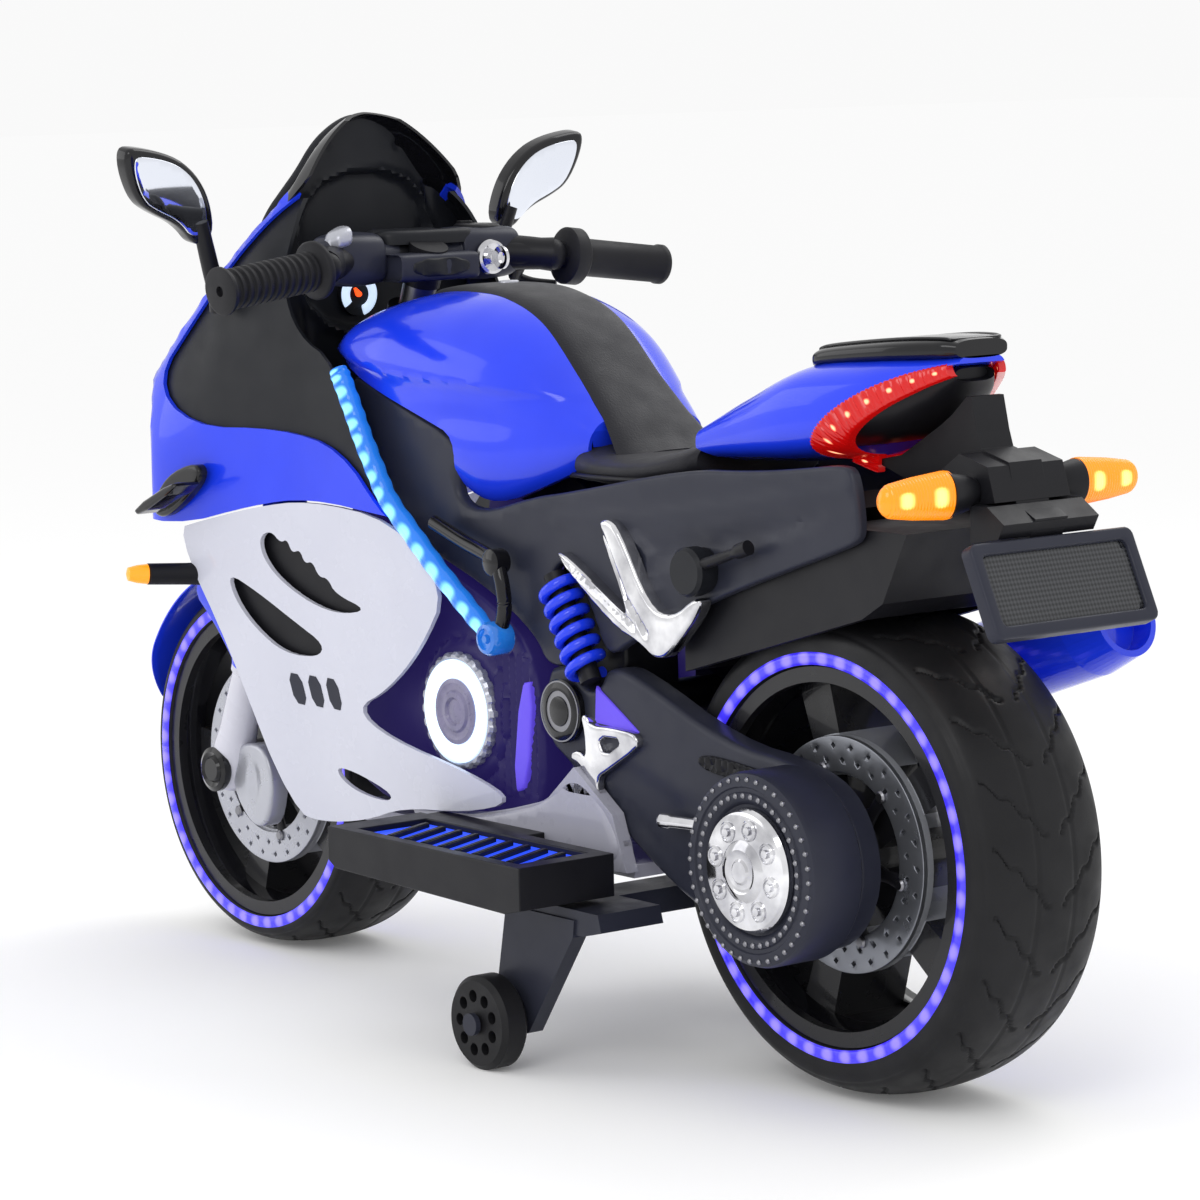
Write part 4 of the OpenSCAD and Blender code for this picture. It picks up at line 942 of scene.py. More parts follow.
tube = {"r": 9.0, "spots": 16,
        "run": [[562, 115, 540], [556, 114.5, 530], [545, 112.5, 507], [534, 111, 484], [516, 111, 457],
                [498, 111, 433], [464, 111, 406], [430, 111, 380], [392, 111, 354], [362, 111, 334]],
        "rod": [[444, 104, 418], [402, 104, 405], [362, 105, 394], [350, 106, 380], [346, 106, 356],
                [352, 106, 336]]}
blueTube = spotFinish("blueTube", (0.012, 0.15, 0.60), (0.30, 0.80, 1.0), tube["spots"], 1.35, 0.62, 0.46,
                      0.12)
for label, turn in sides:
    path = smoothRows(tube["run"], np.linspace(0, 9, 160)) * (1, turn, 1)
    bulge = 1 + 0.05 * np.cos(2 * np.pi * tube["spots"] * np.linspace(0, 1, 160))
    grid = sweptGrid(path, tube["r"] * bulge * (1 - 0.15 * np.linspace(-1, 1, 160) ** 20) * 0.95, 20)
    u = np.repeat(np.linspace(0, 1, 160)[:, None], 20, 1)
    v = np.repeat(0.5 + 0.25 * (1 - turn * np.cos(np.linspace(0, 2 * np.pi, 20, endpoint=False)))[None, :],
                  160, 0)
    addPiece("lampTube" + label, mappedTube("lampTube", grid, np.stack([u, v], -1).reshape(-1, 2)),
             blueTube, "chassis", ["lamp_strips"] if turn == 1 else ())
    bossProfile = [[0, 0], [13, 0], [14, 2], [14, 18], [12, 21], [9, 22], [8, 19], [4, 19], [3, 22],
                   [0, 22]]
    boss = turnedGrid(bossProfile, (356, turn * 98, 330), (0, turn, 0), 48)
    addPiece("lampBoss" + label, tubeMesh("lampBoss", boss), paints["bossBlue"], "chassis")
    rod = sweptGrid(smoothRows(tube["rod"], np.linspace(0, 5, 60)) * (1, turn, 1), 6.2, 20)
    addPiece("linkRod" + label, tubeMesh("linkRod", rod), paints["glossBlack"])
    joint = turnedGrid([[0, 0], [10, 0], [11, 2], [11, 14], [8, 16], [0, 16]], (358, turn * 97, 392),
                       (0, turn, 0), 32)
    addPiece("linkJoint" + label, tubeMesh("linkJoint", joint), paints["glossBlack"])
pegs = {"barrel": [[0, 0], [17, 0], [18, 2], [18, 8], [19.5, 9], [19.5, 20], [17, 23], [0, 23]],
        "pin": [[108, 100, 408], [80, 100, 416], [44, 98, 428]]}
barrels = [turnedGrid(pegs["barrel"], (112, turn * 84, 404), (0, turn, 0), 40) for _, turn in sides]
addPiece("pegBarrels", manyGrids("pegBarrels", barrels), paints["linerPlastic"])
pinRun = smoothRows(pegs["pin"], np.linspace(0, 2, 20))
pinRadius = np.interp(np.arange(20), [0, 15, 16, 19], [5, 4, 6, 6])
pins = [sweptGrid(pinRun * (1, turn, 1), pinRadius, 16) for _, turn in sides]
addPiece("pegPins", manyGrids("pegPins", pins), paints["satinBlack"])
coil = {"top": (290.0, 94.0, 380.0), "foot": (251.0, 94.0, 310.0), "turns": 6, "r": 14.0, "wire": 4.6}


# Coil: point = foot + share x axis + radius (side cos a + up sin a), a turning six times
def coilGrid(turn):
    t = np.linspace(0, 1, 360)[:, None]
    foot, top = (np.multiply(coil[k], (1, turn, 1)) for k in ("foot", "top"))
    side, up, d = crossAxes(top - foot)
    a = t * 2 * np.pi * coil["turns"]
    return sweptGrid(foot + t * (top - foot) + coil["r"] * (np.cos(a) * side + np.sin(a) * up),
                     coil["wire"], 12)


addPiece("springs", manyGrids("springs", [coilGrid(1), coilGrid(-1)]), paints["bluePaint"], "chassis",
         ["shock_springs"])
cores = [sweptGrid(np.array([[t * 46 + 248, s * 94, t * 82.6 + 304] for t in (0, 0.5, 1)]), 9.0, 24)
         for s in (1, -1)]
addPiece("springCores", manyGrids("springCores", cores), paints["satinBlack"])


# Hanger relief: a sunk line along each arm, depth = -3 exp(-(d / 2.2)^2)
def hangerRelief(x, z):
    p = np.stack([x, z], 1)
    runs = [np.array([[284, 402], [226, 376], [186, 354.0]]),
            np.array([[228, 430], [196, 376], [170, 350.0]])]
    return sum(-3.0 * np.exp(-(edgeDistance(p, run, closed=False) / 2.2) ** 2) for run in runs)


hangers = moulding("hangers", flank["hanger"], 87, 99.5, 3.5, pair=True, spacing=3.0, relief=hangerRelief)
addPiece("hangers", hangers, paints["chrome"], "chassis", ["footrest_hangers"])
lever = moulding("gearLever", flank["lever"], 91, 98, 2.0, spacing=4.0, rounds=1,
                 holes=[flank["leverHole"]])
addPiece("gearLever", lever, paints["chrome"], "chassis", ["gear_lever"])


# Wing relief: an upright swell, 2 sin(pi (z - 150) / 60)
def wingRelief(x, z):
    return 2.0 * np.sin(np.clip((z - 150) / 60, 0, 1) * np.pi)


wings = moulding("bellyWings", flank["wing"], 90.5, 103, 5, pair=True, spacing=7.0, relief=wingRelief)
addPiece("bellyWings", wings, paints["greyPearl"])
print("flank made")

wheels = {
    "front": {"x": 804.0, "r": 167.0, "half": 56.0, "bead": 138.0, "lamp": 150.0, "web": 30.0,
              "body": "front_wheel"},
    "rear": {"x": 0.0, "r": 190.0, "half": 64.0, "bead": 147.0, "lamp": 159.0, "web": 36.0,
             "body": "rear_wheel"},
    "blocks": 22, "grooveWide": 1.9, "grooveDeep": 2.2,
}


# Tyre: crown radius r - c + c |cos a|^0.8, with grooves where the wave of a zig-zag passes its middle
def tyreMesh(name, w):
    crown = (w["r"] - w["bead"]) * 0.6
    a = np.linspace(-np.pi / 2, np.pi / 2, 92)
    radius = w["r"] - 0.4 - crown + crown * np.maximum(np.cos(a), 0) ** 0.8
    across = (w["half"] - 0.5) * np.sin(a)
    lip = [[w["bead"] + 0.3, -w["half"] + 6], [w["bead"] + 1.5, -w["half"] + 2.5],
           [w["bead"] + 6, -w["half"] + 0.5]]
    profile = np.vstack([lip, np.stack([radius, across], 1), [[r, -y] for r, y in lip[::-1]]])
    turns = 900
    theta = np.linspace(0, 2 * np.pi, turns, endpoint=False)[:, None]
    r, y = profile[:, 0][None, :], profile[:, 1][None, :]
    share = y / w["half"]
    wave = np.mod(theta / (2 * np.pi) * wheels["blocks"] + 1.25 * np.abs(share) + 0.05 * np.sin(share * 26),
                  1.0)
    arc = np.abs(wave - 0.5) * 2 * np.pi * w["r"] / wheels["blocks"]
    tread = (np.abs(share) > 0.10) * (np.abs(share) < 0.84)
    cut = np.exp(-(arc / wheels["grooveWide"]) ** 4) * tread
    middleRing = 0.6 * np.exp(-((np.abs(y) - 0.30 * w["half"]) / 1.0) ** 4)
    edgeRing = 0.4 * np.exp(-((np.abs(share) - 0.93) / 0.02) ** 2)
    depth = np.clip((cut + middleRing + edgeRing) * (r > w["bead"] + 8), 0, 1) * wheels["grooveDeep"]
    r = r - depth
    grid = np.stack([w["x"] + r * np.cos(theta), y + 0 * theta, w["r"] + r * np.sin(theta)], -1)
    return meshOf(name, grid, gridFaces(turns, len(profile), True, True), sharp=50)


ringSpots = spotFinish("ringBlue", (0.045, 0.030, 0.80), (0.30, 0.24, 1.0), 46, 1.05, 0.62, 0.42, 0.7)
for label in ("front", "rear"):
    w = wheels[label]
    addPiece(label + "TyreBody", tyreMesh(label + "TyreBody", w), paints["rubber"], w["body"],
             [label + "_tyre"])
    grids, shares = [], []
    for turn in (1, -1):
        theta = np.linspace(0, 2 * np.pi, 240, endpoint=False)[:, None]
        c = np.linspace(0, 2 * np.pi, 12, endpoint=False)[None, :]
        r = w["lamp"] - 5.6 + 5.2 * np.cos(c)
        grid = np.stack([w["x"] + r * np.cos(theta), turn * (w["half"] - 1.0 + 1.6 * np.sin(c)) + 0 * theta,
                         w["r"] + r * np.sin(theta)], -1)
        theta2 = np.linspace(0, 1, 240, endpoint=False)[:, None] + 0 * c
        grids.append(grid.reshape(-1, 3))
        shares.append(np.stack([theta2, 0.5 + 0.5 * np.cos(c) + 0 * theta], -1).reshape(-1, 2))
    faces = gridFaces(240, 12, True, True) + gridFaces(240, 12, True, True, start=240 * 12)
    mesh = meshOf(label + "LampRings", np.vstack(grids), faces, tidyUp=False)
    mapAlong(mesh, np.vstack(shares))
    turnFacesOut(mesh)
    addPiece(label + "LampRings", mesh, ringSpots, w["body"], [label + "_lamp_rings"])
    dish = [[150 if label == "rear" else 140, w["half"] - 8], [w["bead"] - 1, w["half"] - 4],
            [w["bead"] - 12, w["half"] - 12], [w["bead"] - 16, w["half"] - 24],
            [w["bead"] - 16, w["half"] - 30], [w["bead"] - 10, w["half"] - 30], [w["bead"], w["half"] - 30]]
    lips = [turnedGrid(np.array([[r, turn * y] for r, y in dish]), (w["x"], 0, w["r"]), (0, 1, 0), 144)
            for turn in (1, -1)]
    points = np.vstack([g.reshape(-1, 3) for g in lips])
    size = lips[0].shape[0] * lips[0].shape[1]
    faces = gridFaces(len(dish), 144, True, True) + gridFaces(len(dish), 144, True, True, start=size)
    addPiece(label + "RimLips", meshOf(label + "RimLips", points, faces), paints["glossBlack"], w["body"])


disc = {"outer": 92.0, "inner": 64.0, "thick": 4.0, "holes": 26, "holeR": 2.6, "arms": 6, "boltAt": 68.0}


# Circle: point = centre + r (cos a, sin a), at n places that divide ninety
def circlePoints(centre, r, n):
    a = np.linspace(0, 2 * np.pi, 90, endpoint=False)[:: 90 // n]
    return centre + r * np.stack([np.cos(a), np.sin(a)], 1)


# Drilled disc: a flat ring with two rows of round holes, as a moulding in the x-z plane
def discMesh(name, w, faceY):
    centre = np.array([w["x"], w["r"]])
    holes = [circlePoints(centre, disc["inner"], 90)]
    for k in range(disc["holes"]):
        for r, off in ((84.5, 0.0), (73.5, 0.5)):
            q = 2 * np.pi * (k + off) / disc["holes"]
            holes.append(circlePoints(centre + r * np.array([np.cos(q), np.sin(q)]), disc["holeR"], 10))
    rimLine = circlePoints(centre, disc["outer"], 90)
    return moulding(name, rimLine, faceY, faceY + disc["thick"], 0.8, holes=holes, spacing=6.0, rounds=0)


# Spider arm: a tapering bar from the hub to the ring, six of them, each with a bolt
def spiderMesh(name, w, faceY):
    grids = []
    for k in range(disc["arms"]):
        q = 2 * np.pi * (k + 0.2) / disc["arms"]
        d, n = np.array([np.cos(q), 0, np.sin(q)]), np.array([-np.sin(q), 0, np.cos(q)])
        s = np.linspace(26, 70, 8)[:, None, None]
        half = np.interp(s, [26, 50, 70], [9, 5, 7])
        c = np.linspace(0, 2 * np.pi, 12, endpoint=False)[None, :, None]
        base = np.array([w["x"], faceY + 2.5, w["r"]])
        grids.append(base + s * d + half * np.cos(c) * (n + 0.35 * d) + np.array([0, 3.0, 0]) * np.sin(c))
    return manyGrids(name, grids)


for label in ("front", "rear"):
    w = wheels[label]
    discPaint = paints["brushedDisc" if label == "rear" else "silverPaint"]
    addPiece(label + "Disc", discMesh(label + "Disc", w, w["web"] + 5.2), discPaint, w["body"])
    addPiece(label + "Spider", spiderMesh(label + "Spider", w, w["web"] + 4.4), paints["satinBlack"],
             w["body"])
    bolts = []
    for k in range(disc["arms"]):
        q = 2 * math.pi * (k + 0.2) / disc["arms"]
        at = (w["x"] + disc["boltAt"] * math.cos(q), w["web"] + 6, w["r"] + disc["boltAt"] * math.sin(q))
        bolts.append(turnedGrid([[0, 0], [5, 0], [5, 5], [3.5, 6.4], [0, 6.4]], at, (0, 1, 0), 12))
    addPiece(label + "DiscBolts", manyGrids(label + "DiscBolts", bolts), paints["steel"], w["body"])
print("wheels made")

drum = {"centre": (0.0, 0.0, 190.0), "studs": 40, "bolts": 8, "boltAt": 33.0}
drumProfile = [[0, 90.4], [74, 90.4], [75, 92], [75, 132], [73.5, 137], [70, 139.6], [64, 140], [63, 138.6],
               [60, 138.6], [59, 140], [55, 140], [52, 138], [50, 135], [47, 134], [0, 134]]
addPiece("drum", tubeMesh("drum", turnedGrid(drumProfile, drum["centre"], (0, 1, 0), 144), 30),
         paints["charcoalPlastic"], "chassis", ["hub_cover"])
studs = []
for r, y, size, off in ((69.5, 139.2, 2.1, 0.0), (57.0, 139.6, 2.3, 0.5)):
    for k in range(drum["studs"]):
        q = 2 * math.pi * (k + off) / drum["studs"]
        studs.append(turnedGrid([[0, -0.6], [size, -0.6], [size, 1.0], [size * 0.55, 2.0], [0, 2.1]],
                                (r * math.cos(q), y, drum["centre"][2] + r * math.sin(q)), (0, 1, 0), 8))
addPiece("drumStuds", manyGrids("drumStuds", studs), paints["steel"])
hubProfile = [[0, 133], [45, 133], [47, 135], [47.5, 140], [45, 143.4], [40, 144.6], [24, 145.4],
              [21, 147.4], [17, 148.6], [14, 147.6], [10, 147.8], [8, 149.2], [0, 149.4]]
addPiece("hubDisc", tubeMesh("hubDisc", turnedGrid(hubProfile, drum["centre"], (0, 1, 0), 120), 25),
         paints["chrome"], "chassis", ["hub_disc"])
heads = []
for k in range(drum["bolts"]):
    q = 2 * math.pi * (k + 0.3) / drum["bolts"]
    at = (drum["boltAt"] * math.cos(q), 142.5, drum["centre"][2] + drum["boltAt"] * math.sin(q))
    heads.append(turnedGrid([[0, 0], [8.2, 0], [8.2, 3.4], [6.8, 4.6], [6.4, 4.6], [5.8, 3.2], [3.6, 3.2],
                             [3.2, 5.6], [0, 6]], at, (0, 1, 0), 24))
addPiece("hubBolts", manyGrids("hubBolts", heads, 25), paints["chrome"])


# Chain relief: upright bars, 0.9 sign(sin(0.9 x))
def chainRelief(x, z):
    return 0.9 * np.sign(np.sin(x * 0.9))


window = [[118, 262], [40, 256], [10, 250], [14, 240], [60, 244], [116, 248]]
addPiece("chainWindow", moulding("chainWindow", window, 89, 92.5, 1.5, spacing=4.0, relief=chainRelief),
         paints["satinBlack"])
peg = turnedGrid([[0, 0], [5, 0], [5, 24], [6, 26], [6, 34], [4.5, 36], [0, 36]], (118, 93, 204),
                 (0.9, 0.25, 0.02), 24)
addPiece("chromePeg", tubeMesh("chromePeg", peg), paints["chrome"])

guard = {"r": 176.5, "thick": 3.2, "half": 61.5, "from": 14.0, "to": 126.0}


# Guard skin: point = front axle + radius (cos a, sin a) at sideways place y
def guardSkin(a, y, radius):
    axle = wheels["front"]
    return np.stack([axle["x"] + radius * np.cos(a), y + 0 * a, axle["r"] + radius * np.sin(a)], -1)


# Guard: radius r + 6.3 - 5.5 share^4 with a middle ridge, narrower at the front, closed by an inner skin
def guardGrid():
    a = np.radians(np.linspace(guard["from"], guard["to"], 90))[:, None]
    share = np.linspace(-1, 1, 46)[None, :]
    taper = 1 - 0.35 * np.clip((np.radians(34) - a) / np.radians(20), 0, 1) ** 2
    y = guard["half"] * share * taper
    top = guard["r"] + 6.3 - 5.5 * np.abs(share) ** 4 + 1.2 * np.exp(-(share / 0.12) ** 2)
    under = np.maximum(top - guard["thick"], guard["r"] - 0.5)
    return np.concatenate([guardSkin(a, y, top), guardSkin(a, y, under)[:, ::-1]], 1)


addPiece("frontGuard", tubeMesh("frontGuard", guardGrid(), 50), paints["bluePaint"], "steering",
         ["front_fender"])
addPiece("guardSides", moulding("guardSides", [[888, 325], [840, 288], [794, 233], [766, 236], [738, 263],
                                               [732, 332], [760, 344], [820, 350]], 59.5, 63.8, 1.8,
         pair=True, spacing=6.0), paints["bluePaint"], "steering")
fork = {"axle": (804.0, 0.0, 167.0), "rake": math.radians(22), "apart": 77.0}
stemUp = np.array([-math.sin(fork["rake"]), 0, math.cos(fork["rake"])])
legs = [np.array(fork["axle"]) + (0, turn * fork["apart"], 0) for _, turn in sides]
lowers = [turnedGrid([[0, -16], [16, -16], [19, -12], [19, 20], [17, 40], [16, 96], [18, 98], [18, 104],
                      [0, 104]], leg, stemUp, 48) for leg in legs]
addPiece("forkLowers", manyGrids("forkLowers", lowers), paints["whiteFork"], "steering",
         ["fork_legs"])
uppers = [turnedGrid([[0, 104], [14, 104], [14, 322], [0, 322]], leg, stemUp, 40) for leg in legs]
addPiece("forkUppers", manyGrids("forkUppers", uppers), paints["silverPaint"], "steering")
sleeves = [turnedGrid([[14.4, 104], [18.4, 104], [19.6, 112], [19.6, 150], [19.2, 200], [18.8, 288],
                       [17.4, 292], [14.4, 292]], leg, stemUp, 48) for leg in legs]
addPiece("forkSleeves", manyGrids("forkSleeves", sleeves), paints["bluePaint"], "steering")
axleProfile = [[0, -97], [8, -97], [8, 97], [0, 97]]
addPiece("frontSpindle", tubeMesh("frontSpindle", turnedGrid(axleProfile, fork["axle"], (0, 1, 0), 32)),
         paints["steel"], "steering")
capProfile = [[0, 0], [18, 0], [20, 3], [20, 8], [16, 10], [12, 8], [10, 10.5], [0, 10.5]]
caps = [turnedGrid(capProfile, np.array(fork["axle"]) + (0, turn * 88.5, 0), (0, turn, 0), 48) for _,
        turn in sides]
addPiece("axleCaps", manyGrids("axleCaps", caps), paints["glossBlack"], "steering")


# Caliper relief: one oval dip, -3 exp(-(((x - 757) / 7)^2 + ((z - 158) / 16)^2)^2)
def caliperRelief(x, z):
    return -3.0 * np.exp(-(((x - 757) / 7) ** 2 + ((z - 158) / 16) ** 2) ** 2)


caliper = [[790, 190], [744, 196], [726, 166], [738, 122], [764, 118], [794, 150]]
addPiece("calipers", moulding("calipers", caliper, 66, 84, 3.5, pair=True, spacing=5.0,
                              relief=caliperRelief),
         paints["silverPaint"], "steering")

# Mirror outline, in y and z
leaf = [[150, 650], [156, 682], [172, 706], [196, 722], [236, 730], [245, 726], [242, 706], [230, 682],
        [214, 672], [186, 660], [168, 640]]


# Turn about the mirror's own level: x, z rotate eight degrees forward about x 684, z 690
def tiltMirror(points):
    t = math.radians(-8)
    x, z = points[:, 0] - 684, points[:, 2] - 690
    return np.stack([684 + x * math.cos(t) + z * math.sin(t), points[:, 1],
                     690 - x * math.sin(t) + z * math.cos(t)], 1)


# Mirror part: a moulding from an outline in y and z, tilted, one on each side
def mirrorMesh(name, outline, back, front, edge):
    points, faces = mouldingParts(outline, back, front, edge, plane="rear", spacing=5.0)
    points = tiltMirror(points)
    both = np.vstack([points, points * (1, -1, 1)])
    return meshOf(name, both, faces + [[i + len(points) for i in f[::-1]] for f in faces], sharp=40)


leafMiddle = np.mean(leaf, 0)
addPiece("mirrorHousings", mirrorMesh("mirrorHousings", leaf, -700, -684, 5), paints["glossBlack"],
         "chassis", ["mirrors"])
addPiece("mirrorGlass", mirrorMesh("mirrorGlass",
                                   (leafMiddle + (np.array(leaf) - leafMiddle) * 0.82).tolist(), -690,
                                   -683.4, 1.0), paints["mirrorGlass"])
stalks = [sweptGrid(smoothRows([[706, s * 136, 588], [702, s * 146, 612], [694, s * 158, 640],
                                [690, s * 166, 664]], np.linspace(0, 3, 24)),
                    np.interp(np.arange(24), [0, 4, 23], [11, 8, 7]), 20) for s in (1, -1)]
addPiece("mirrorStalks", manyGrids("mirrorStalks", stalks), paints["satinBlack"])
addPiece("wingletPlates", moulding("wingletPlates", [[794, 409], [770, 440], [719, 456], [712, 440],
                                                     [752, 412], [780, 400]], 150.5, 160, 3, pair=True,
                                                     spacing=5.0),
         paints["glossBlack"], "chassis", ["winglets"])
addPiece("wingletTips", moulding("wingletTips", [[786, 412], [720, 440], [716, 434], [780, 404]], 158, 184,
                                 3, pair=True, spacing=4.0, rounds=1), paints["glossBlack"])
frontArm = {"foot": (744, 124, 352), "way": (22, 82, 5),
            "stem": [[0, 0], [10.5, 0], [9.6, 30], [9.4, 64], [0, 65]],
            "tip": [[0, 65], [9.0, 65], [8.0, 74], [6, 82], [0, 84]]}


# Front indicator parts: the profile turned about each side's own axis
def frontIndicator(profile):
    pairs = [[np.multiply(frontArm[k], (1, turn, 1)) for k in ("foot", "way")] for _, turn in sides]
    return [turnedGrid(profile, foot, way, 32) for foot, way in pairs]


tips = frontIndicator(frontArm["tip"])
addPiece("frontIndicatorTips", manyGrids("frontIndicatorTips", tips), paints["amberLens"], "chassis")
addPiece("frontIndicatorArms", manyGrids("frontIndicatorArms", frontIndicator(frontArm["stem"])),
         paints["satinBlack"], "chassis", ["front_indicators"])
amberSpots = spotFinish("amberSpots", (0.95, 0.26, 0.004), (1.0, 0.72, 0.22), 2, 1.8, 0.62, 0.28, 0.035)
ribs = np.linspace(26, 86, 120)
for label, turn in sides:
    r = np.interp(ribs, [26, 30, 60, 82, 86], [17.5, 18, 15.5, 12.5, 10]) + 0.35 * np.cos(ribs * 2.2)
    profile = [[0, 26]] + np.stack([r, ribs], 1).tolist() + [[7, 89], [0, 90]]
    grid = turnedGrid(profile, (-144, turn * 38.3, 479), (3, turn * 89.7, -1), 48)
    grid[..., 0] = -142.5 + (grid[..., 0] + 142.5) * 0.72
    u = np.repeat(np.linspace(0, 1, len(profile))[:, None], 48, 1)
    v = 0.5 + 0.25 * np.repeat(1 + turn * np.cos(np.linspace(0, 2 * np.pi, 48, endpoint=False))[None, :],
                               len(profile), 0)
    addPiece("rearIndicatorLens" + label, mappedTube("rearIndicatorLens", grid,
                                                     np.stack([u, v], -1).reshape(-1, 2)), amberSpots,
                                                     "chassis", ["rear_indicators"]
                                                     if turn == 1 else ())
    base = turnedGrid([[0, 0], [10, 0], [14, 10], [17, 24], [17.5, 27.5], [0, 27.5]],
                      (-144, turn * 38.3, 479), (3, turn * 89.7, -1), 40)
    base[..., 0] = -142.5 + (base[..., 0] + 142.5) * 0.8
    addPiece("rearIndicatorBase" + label, tubeMesh("rearIndicatorBase", base), paints["satinBlack"])
boards = {"ribs": 9, "pitch": 23.0, "foot": (214.0, 152.0, 174.5), "run": (-24, 54, 0),
          "glow": (0.02, 0.08, 1.0)}
boardBlue = finish("boardBlue", (0.01, 0.03, 0.35), (0.02, 0.05, 0.5), 0.4, glow=boards["glow"],
                   glowPower=0.9)


# Slat: a low bar, its section p - n, p - 0.8 n + 3 up, p + 0.8 n + 3 up, p + n at each end p
def slatGrid(k, turn):
    n = np.array([0.91, 0.41, 0]) * 2.2
    near = np.array(boards["foot"]) + (boards["pitch"] * k, 0, 0)
    ends = [np.array([p - n, p - n * 0.8 + (0, 0, 3), p + n * 0.8 + (0, 0, 3), p + n])
            for p in (near, near + boards["run"])]
    return np.stack(ends) * (1, turn, 1)


slats = [slatGrid(k, turn) for k in range(boards["ribs"]) for _, turn in sides]
addPiece("boardSlats", manyGrids("boardSlats", slats), paints["satinBlack"])
glowEnd = np.array([[196, 143, 172.6], [196, 143, 173.6], [196, 211, 173.6], [196, 211, 172.6]])
glows = [np.stack([glowEnd, glowEnd + (214, 0, 0)]) * (1, turn, 1) for _, turn in sides]
addPiece("boardGlow", manyGrids("boardGlow", glows), boardBlue, "chassis")
print("hardware made")


# Finish by distance from a wheel's middle: the ring between the inner and outer radius takes the near tone
def bandFinish(name, inner, outer, centre, near, far):
    material = finish(name, far, tuple(1.4 * c for c in far), 0.3, grain=1500, depth=0.12, coat=0.3)
    tree = material.node_tree
    place = addNode(tree, "ShaderNodeTexCoord")
    move = addNode(tree, "ShaderNodeMapping")
    move.inputs["Location"].default_value = (-centre[0], 0, -centre[1])
    flat = addNode(tree, "ShaderNodeVectorMath", operation="MULTIPLY")
    flat.inputs[1].default_value = (1, 0, 1)
    length = addNode(tree, "ShaderNodeVectorMath", operation="LENGTH")
    tree.links.new(place.outputs["Object"], move.inputs["Vector"])
    tree.links.new(move.outputs["Vector"], flat.inputs[0])
    tree.links.new(flat.outputs["Vector"], length.inputs[0])
    low = mathChain(tree, length.outputs["Value"], ("GREATER_THAN", inner))
    band = mathChain(tree, length.outputs["Value"], ("LESS_THAN", outer), ("MULTIPLY", low))
    mix = addNode(tree, "ShaderNodeMix", data_type="RGBA")
    mix.inputs["A"].default_value, mix.inputs["B"].default_value = (*far, 1), (*near, 1)
    tree.links.new(band, mix.inputs["Factor"])
    tree.links.new(mix.outputs["Result"], tree.nodes["Principled BSDF"].inputs["Base Color"])
    return material


# Woven face: two sine waves at right angles, turned half a right angle, multiplied and hardened into a
# twill
def weaveFinish(name, size):
    material = finish(name, (0.02, 0.02, 0.024), (0.03, 0.03, 0.035), 0.3, grain=1200, depth=0.1, coat=0.4)
    tree = material.node_tree
    place = addNode(tree, "ShaderNodeTexCoord")
    turn = addNode(tree, "ShaderNodeMapping")
    turn.inputs["Rotation"].default_value = (math.radians(45), 0, 0)
    split = addNode(tree, "ShaderNodeSeparateXYZ")
    tree.links.new(place.outputs["Object"], turn.inputs["Vector"])
    tree.links.new(turn.outputs["Vector"], split.inputs[0])
    waves = [mathChain(tree, split.outputs[axis], ("MULTIPLY", math.pi / size), ("SINE", None))
             for axis in ("Y", "Z")]
    both = mathChain(tree, waves[0], ("MULTIPLY", waves[1]), ("MULTIPLY", 1.6))
    level = addNode(tree, "ShaderNodeMapRange", From_Min=-1.0, From_Max=1.0, To_Min=0.0, To_Max=1.0)
    tree.links.new(both, level.inputs["Value"])
    mix = addNode(tree, "ShaderNodeMix", data_type="RGBA")
    mix.inputs["A"].default_value = (0.012, 0.013, 0.015, 1)
    mix.inputs["B"].default_value = (0.050, 0.052, 0.058, 1)
    tree.links.new(level.outputs["Result"], mix.inputs["Factor"])
    tree.links.new(mix.outputs["Result"], tree.nodes["Principled BSDF"].inputs["Base Color"])
    return material


plate = {"at": (-194.0, 0.0, 413.0), "tilt": 25.0, "half": (82.0, 37.0), "face": (72.0, 27.0),
         "thread": 0.0024}


# Plate part: a moulding in the plate's own plane, turned by its tilt about the cross axis and moved to its
# place
def plateMesh(name, outline, back, front, edge, **options):
    points, faces = mouldingParts(outline, back, front, edge, plane="rear", **options)
    t, (x, z) = math.radians(plate["tilt"]), (points[:, 0], points[:, 2])
    turned = [x * math.cos(t) + z * math.sin(t), points[:, 1], -x * math.sin(t) + z * math.cos(t)]
    return meshOf(name, np.stack(turned, 1) + plate["at"], faces)


# Box with round corners: y, z = sign(cos a)(half - r) + r cos a and the same with sine, two lower in z
def roundBox(half, r):
    a = np.linspace(0, 2 * np.pi, 40, endpoint=False) + 0.04
    c, d = np.cos(a), np.sin(a)
    return np.stack([np.sign(c) * (half[0] - r) + r * c, np.sign(d) * (half[1] - r) + r * d - 2], 1)


addPiece("plateFrame", plateMesh("plateFrame", roundBox(plate["half"], 7), -4.6, 6.8, 2.6, spacing=5.0,
                                 rounds=0, holes=[roundBox(plate["face"], 4)]),
         paints["charcoalPlastic"], "chassis", ["number_plate"])
addPiece("plateFace", plateMesh("plateFace", roundBox(np.add(plate["face"], 0.6), 4), -3.6, 3.4, 0.6,
                                spacing=8.0, rounds=0),
         weaveFinish("plateWeave", plate["thread"]), "chassis")

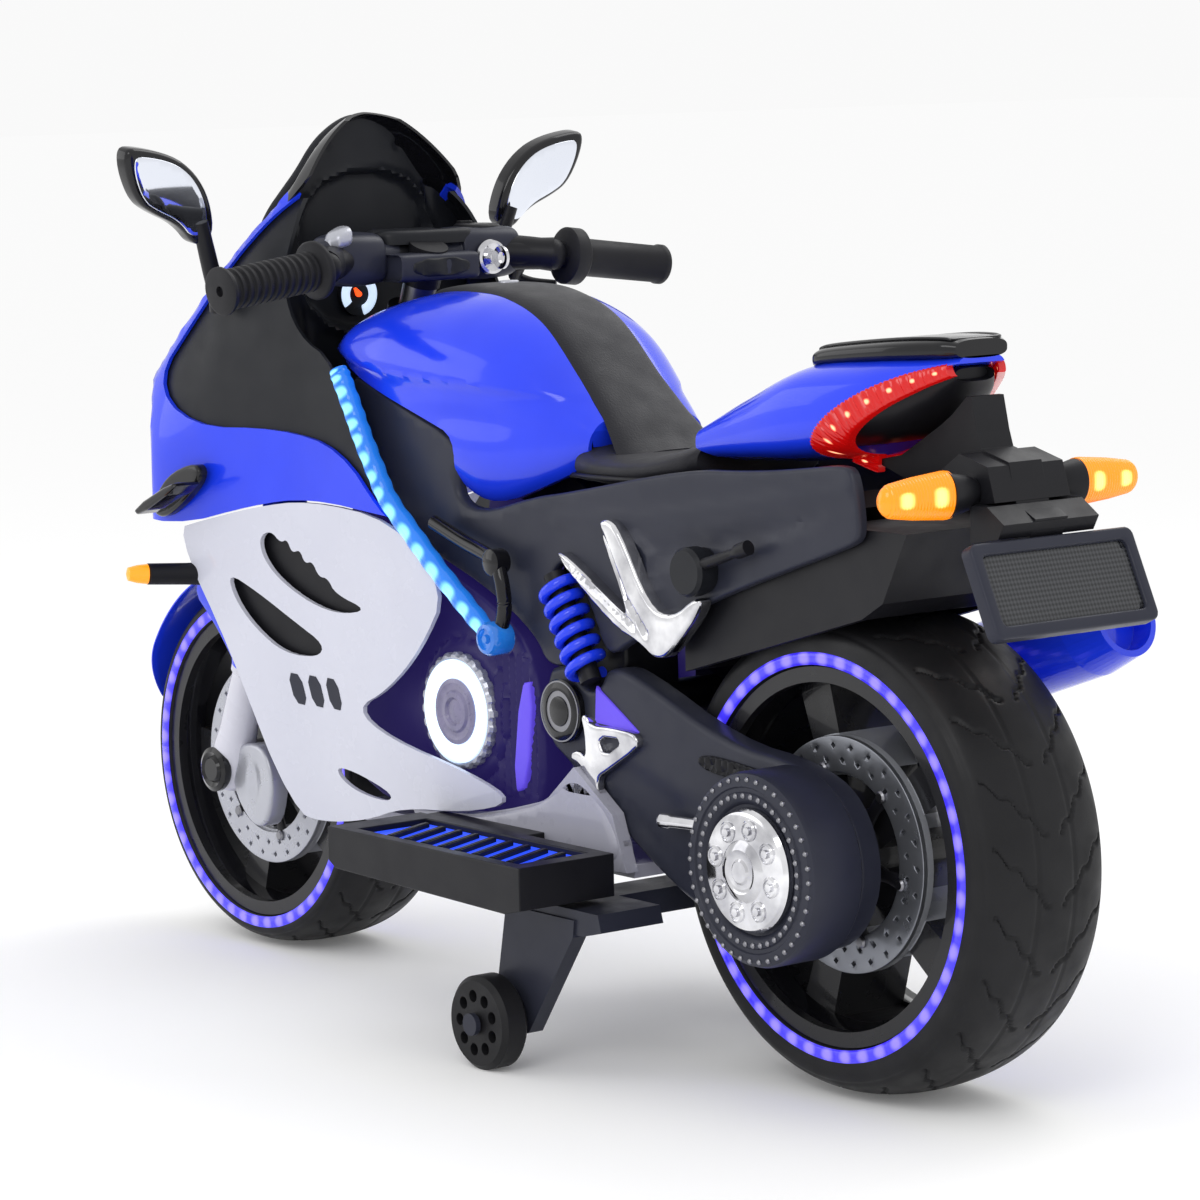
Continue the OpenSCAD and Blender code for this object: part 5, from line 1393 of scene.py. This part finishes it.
nodeFinish = {
    "main_frame": "satinBlack", "battery_pack": "charcoalPlastic", "control_box": "satinBlack",
    "drive_motor": "steel", "gearbox": "satinBlack", "belly_pan": "greyPearl",
    "swingarm_right": "charcoalPlastic", "rear_axle": "steel", "footboard_left": "satinBlack",
    "footboard_right": "satinBlack", "stabiliser_bar": "charcoalPlastic", "gauge": "linerPlastic",
    "plate_bracket": "satinBlack", "rear_mudguard": "satinBlack", "muffler": "bluePaint",
    "steering_stem": "steel", "handlebar": "satinBlack", "key": "chrome", "horn_button": "gripRubber",
    "front_rim": "frontRim", "rear_rim": "rearRim", "stabiliser_wheel_left": "rubber",
    "stabiliser_wheel_right": "rubber", }
paints["frontRim"] = bandFinish("frontRim", 0.061, 0.093, (0.425, 0.167), (0.45, 0.46, 0.50),
                                (0.012, 0.012, 0.014))
paints["rearRim"] = bandFinish("rearRim", 0.061, 0.093, (-0.379, 0.190), (0.30, 0.31, 0.34),
                               (0.010, 0.010, 0.012))
for name, paint in nodeFinish.items():
    node = nodes[name]
    node.data.materials.clear()
    node.data.materials.append(paints[paint])
    weld = node.modifiers.new("joined", "WELD")
    weld.merge_threshold = 0.00001
    edge = node.modifiers.new("roundedEdges", "BEVEL")
    edge.width, edge.segments, edge.limit_method, edge.angle_limit = 0.0012, 2, "ANGLE", math.radians(35)
    edge.harden_normals = False
    node.data.polygons.foreach_set("use_smooth", np.zeros(len(node.data.polygons), bool))
print("frame nodes finished")

studio = {"floor": (0.93, 0.93, 0.93), "sky": 0.95, "key": 20.0, "fill": 8.0, "rim": 14.0, "lens": 135.03,
          "cameraAt": (-2.94958, 2.27044, 0.82368), "cameraTurn": (82.72811, 1.13526, -127.95277)}
floorMesh = bpy.data.meshes.new("floor")
floorMesh.from_pydata([(-30, -30, 0), (30, -30, 0), (30, 30, 0), (-30, 30, 0)], [], [(0, 1, 2, 3)])
floor = bpy.data.objects.new("floor", floorMesh)
bpy.context.scene.collection.objects.link(floor)
floorMesh.materials.append(finish("floorPaper", studio["floor"], tuple(0.99 * c for c in studio["floor"]),
                                  0.9, grain=60, depth=0.02, specular=0.0, glow=(1.0, 1.0, 1.0),
                                  glowPower=0.08))
world = bpy.data.worlds.new("studio")
world.use_nodes = True
world.node_tree.nodes["Background"].inputs["Color"].default_value = (1, 1, 1, 1)
world.node_tree.nodes["Background"].inputs["Strength"].default_value = studio["sky"]
bpy.context.scene.world = world


# Square soft light at a place, turned so that it looks at a point
def softLamp(name, at, towards, size, power):
    data = bpy.data.lights.new(name, "AREA")
    data.shape, data.size, data.energy = "SQUARE", size, power
    lamp = bpy.data.objects.new(name, data)
    bpy.context.scene.collection.objects.link(lamp)
    lamp.location = at
    lamp.rotation_euler = (Vector(towards) - Vector(at)).to_track_quat("-Z", "Y").to_euler()


softLamp("keyLight", (-1.6, 2.2, 2.2), (0, 0, 0.35), 1.4, studio["key"])
softLamp("fillLight", (1.8, 1.8, 1.2), (0.1, 0, 0.35), 1.6, studio["fill"])
softLamp("rimLight", (0.2, -1.6, 2.4), (0, 0, 0.4), 1.4, studio["rim"])
camera = bpy.data.cameras.new("camera")
camera.lens, camera.sensor_width, camera.clip_start, camera.clip_end = studio["lens"], 36.0, 0.05, 60.0
view = bpy.data.objects.new("camera", camera)
bpy.context.scene.collection.objects.link(view)
view.location = studio["cameraAt"]
view.rotation_euler = [math.radians(angle) for angle in studio["cameraTurn"]]
bpy.context.scene.camera = view
bpy.context.scene.view_settings.view_transform = "Standard"
print("studio ready")
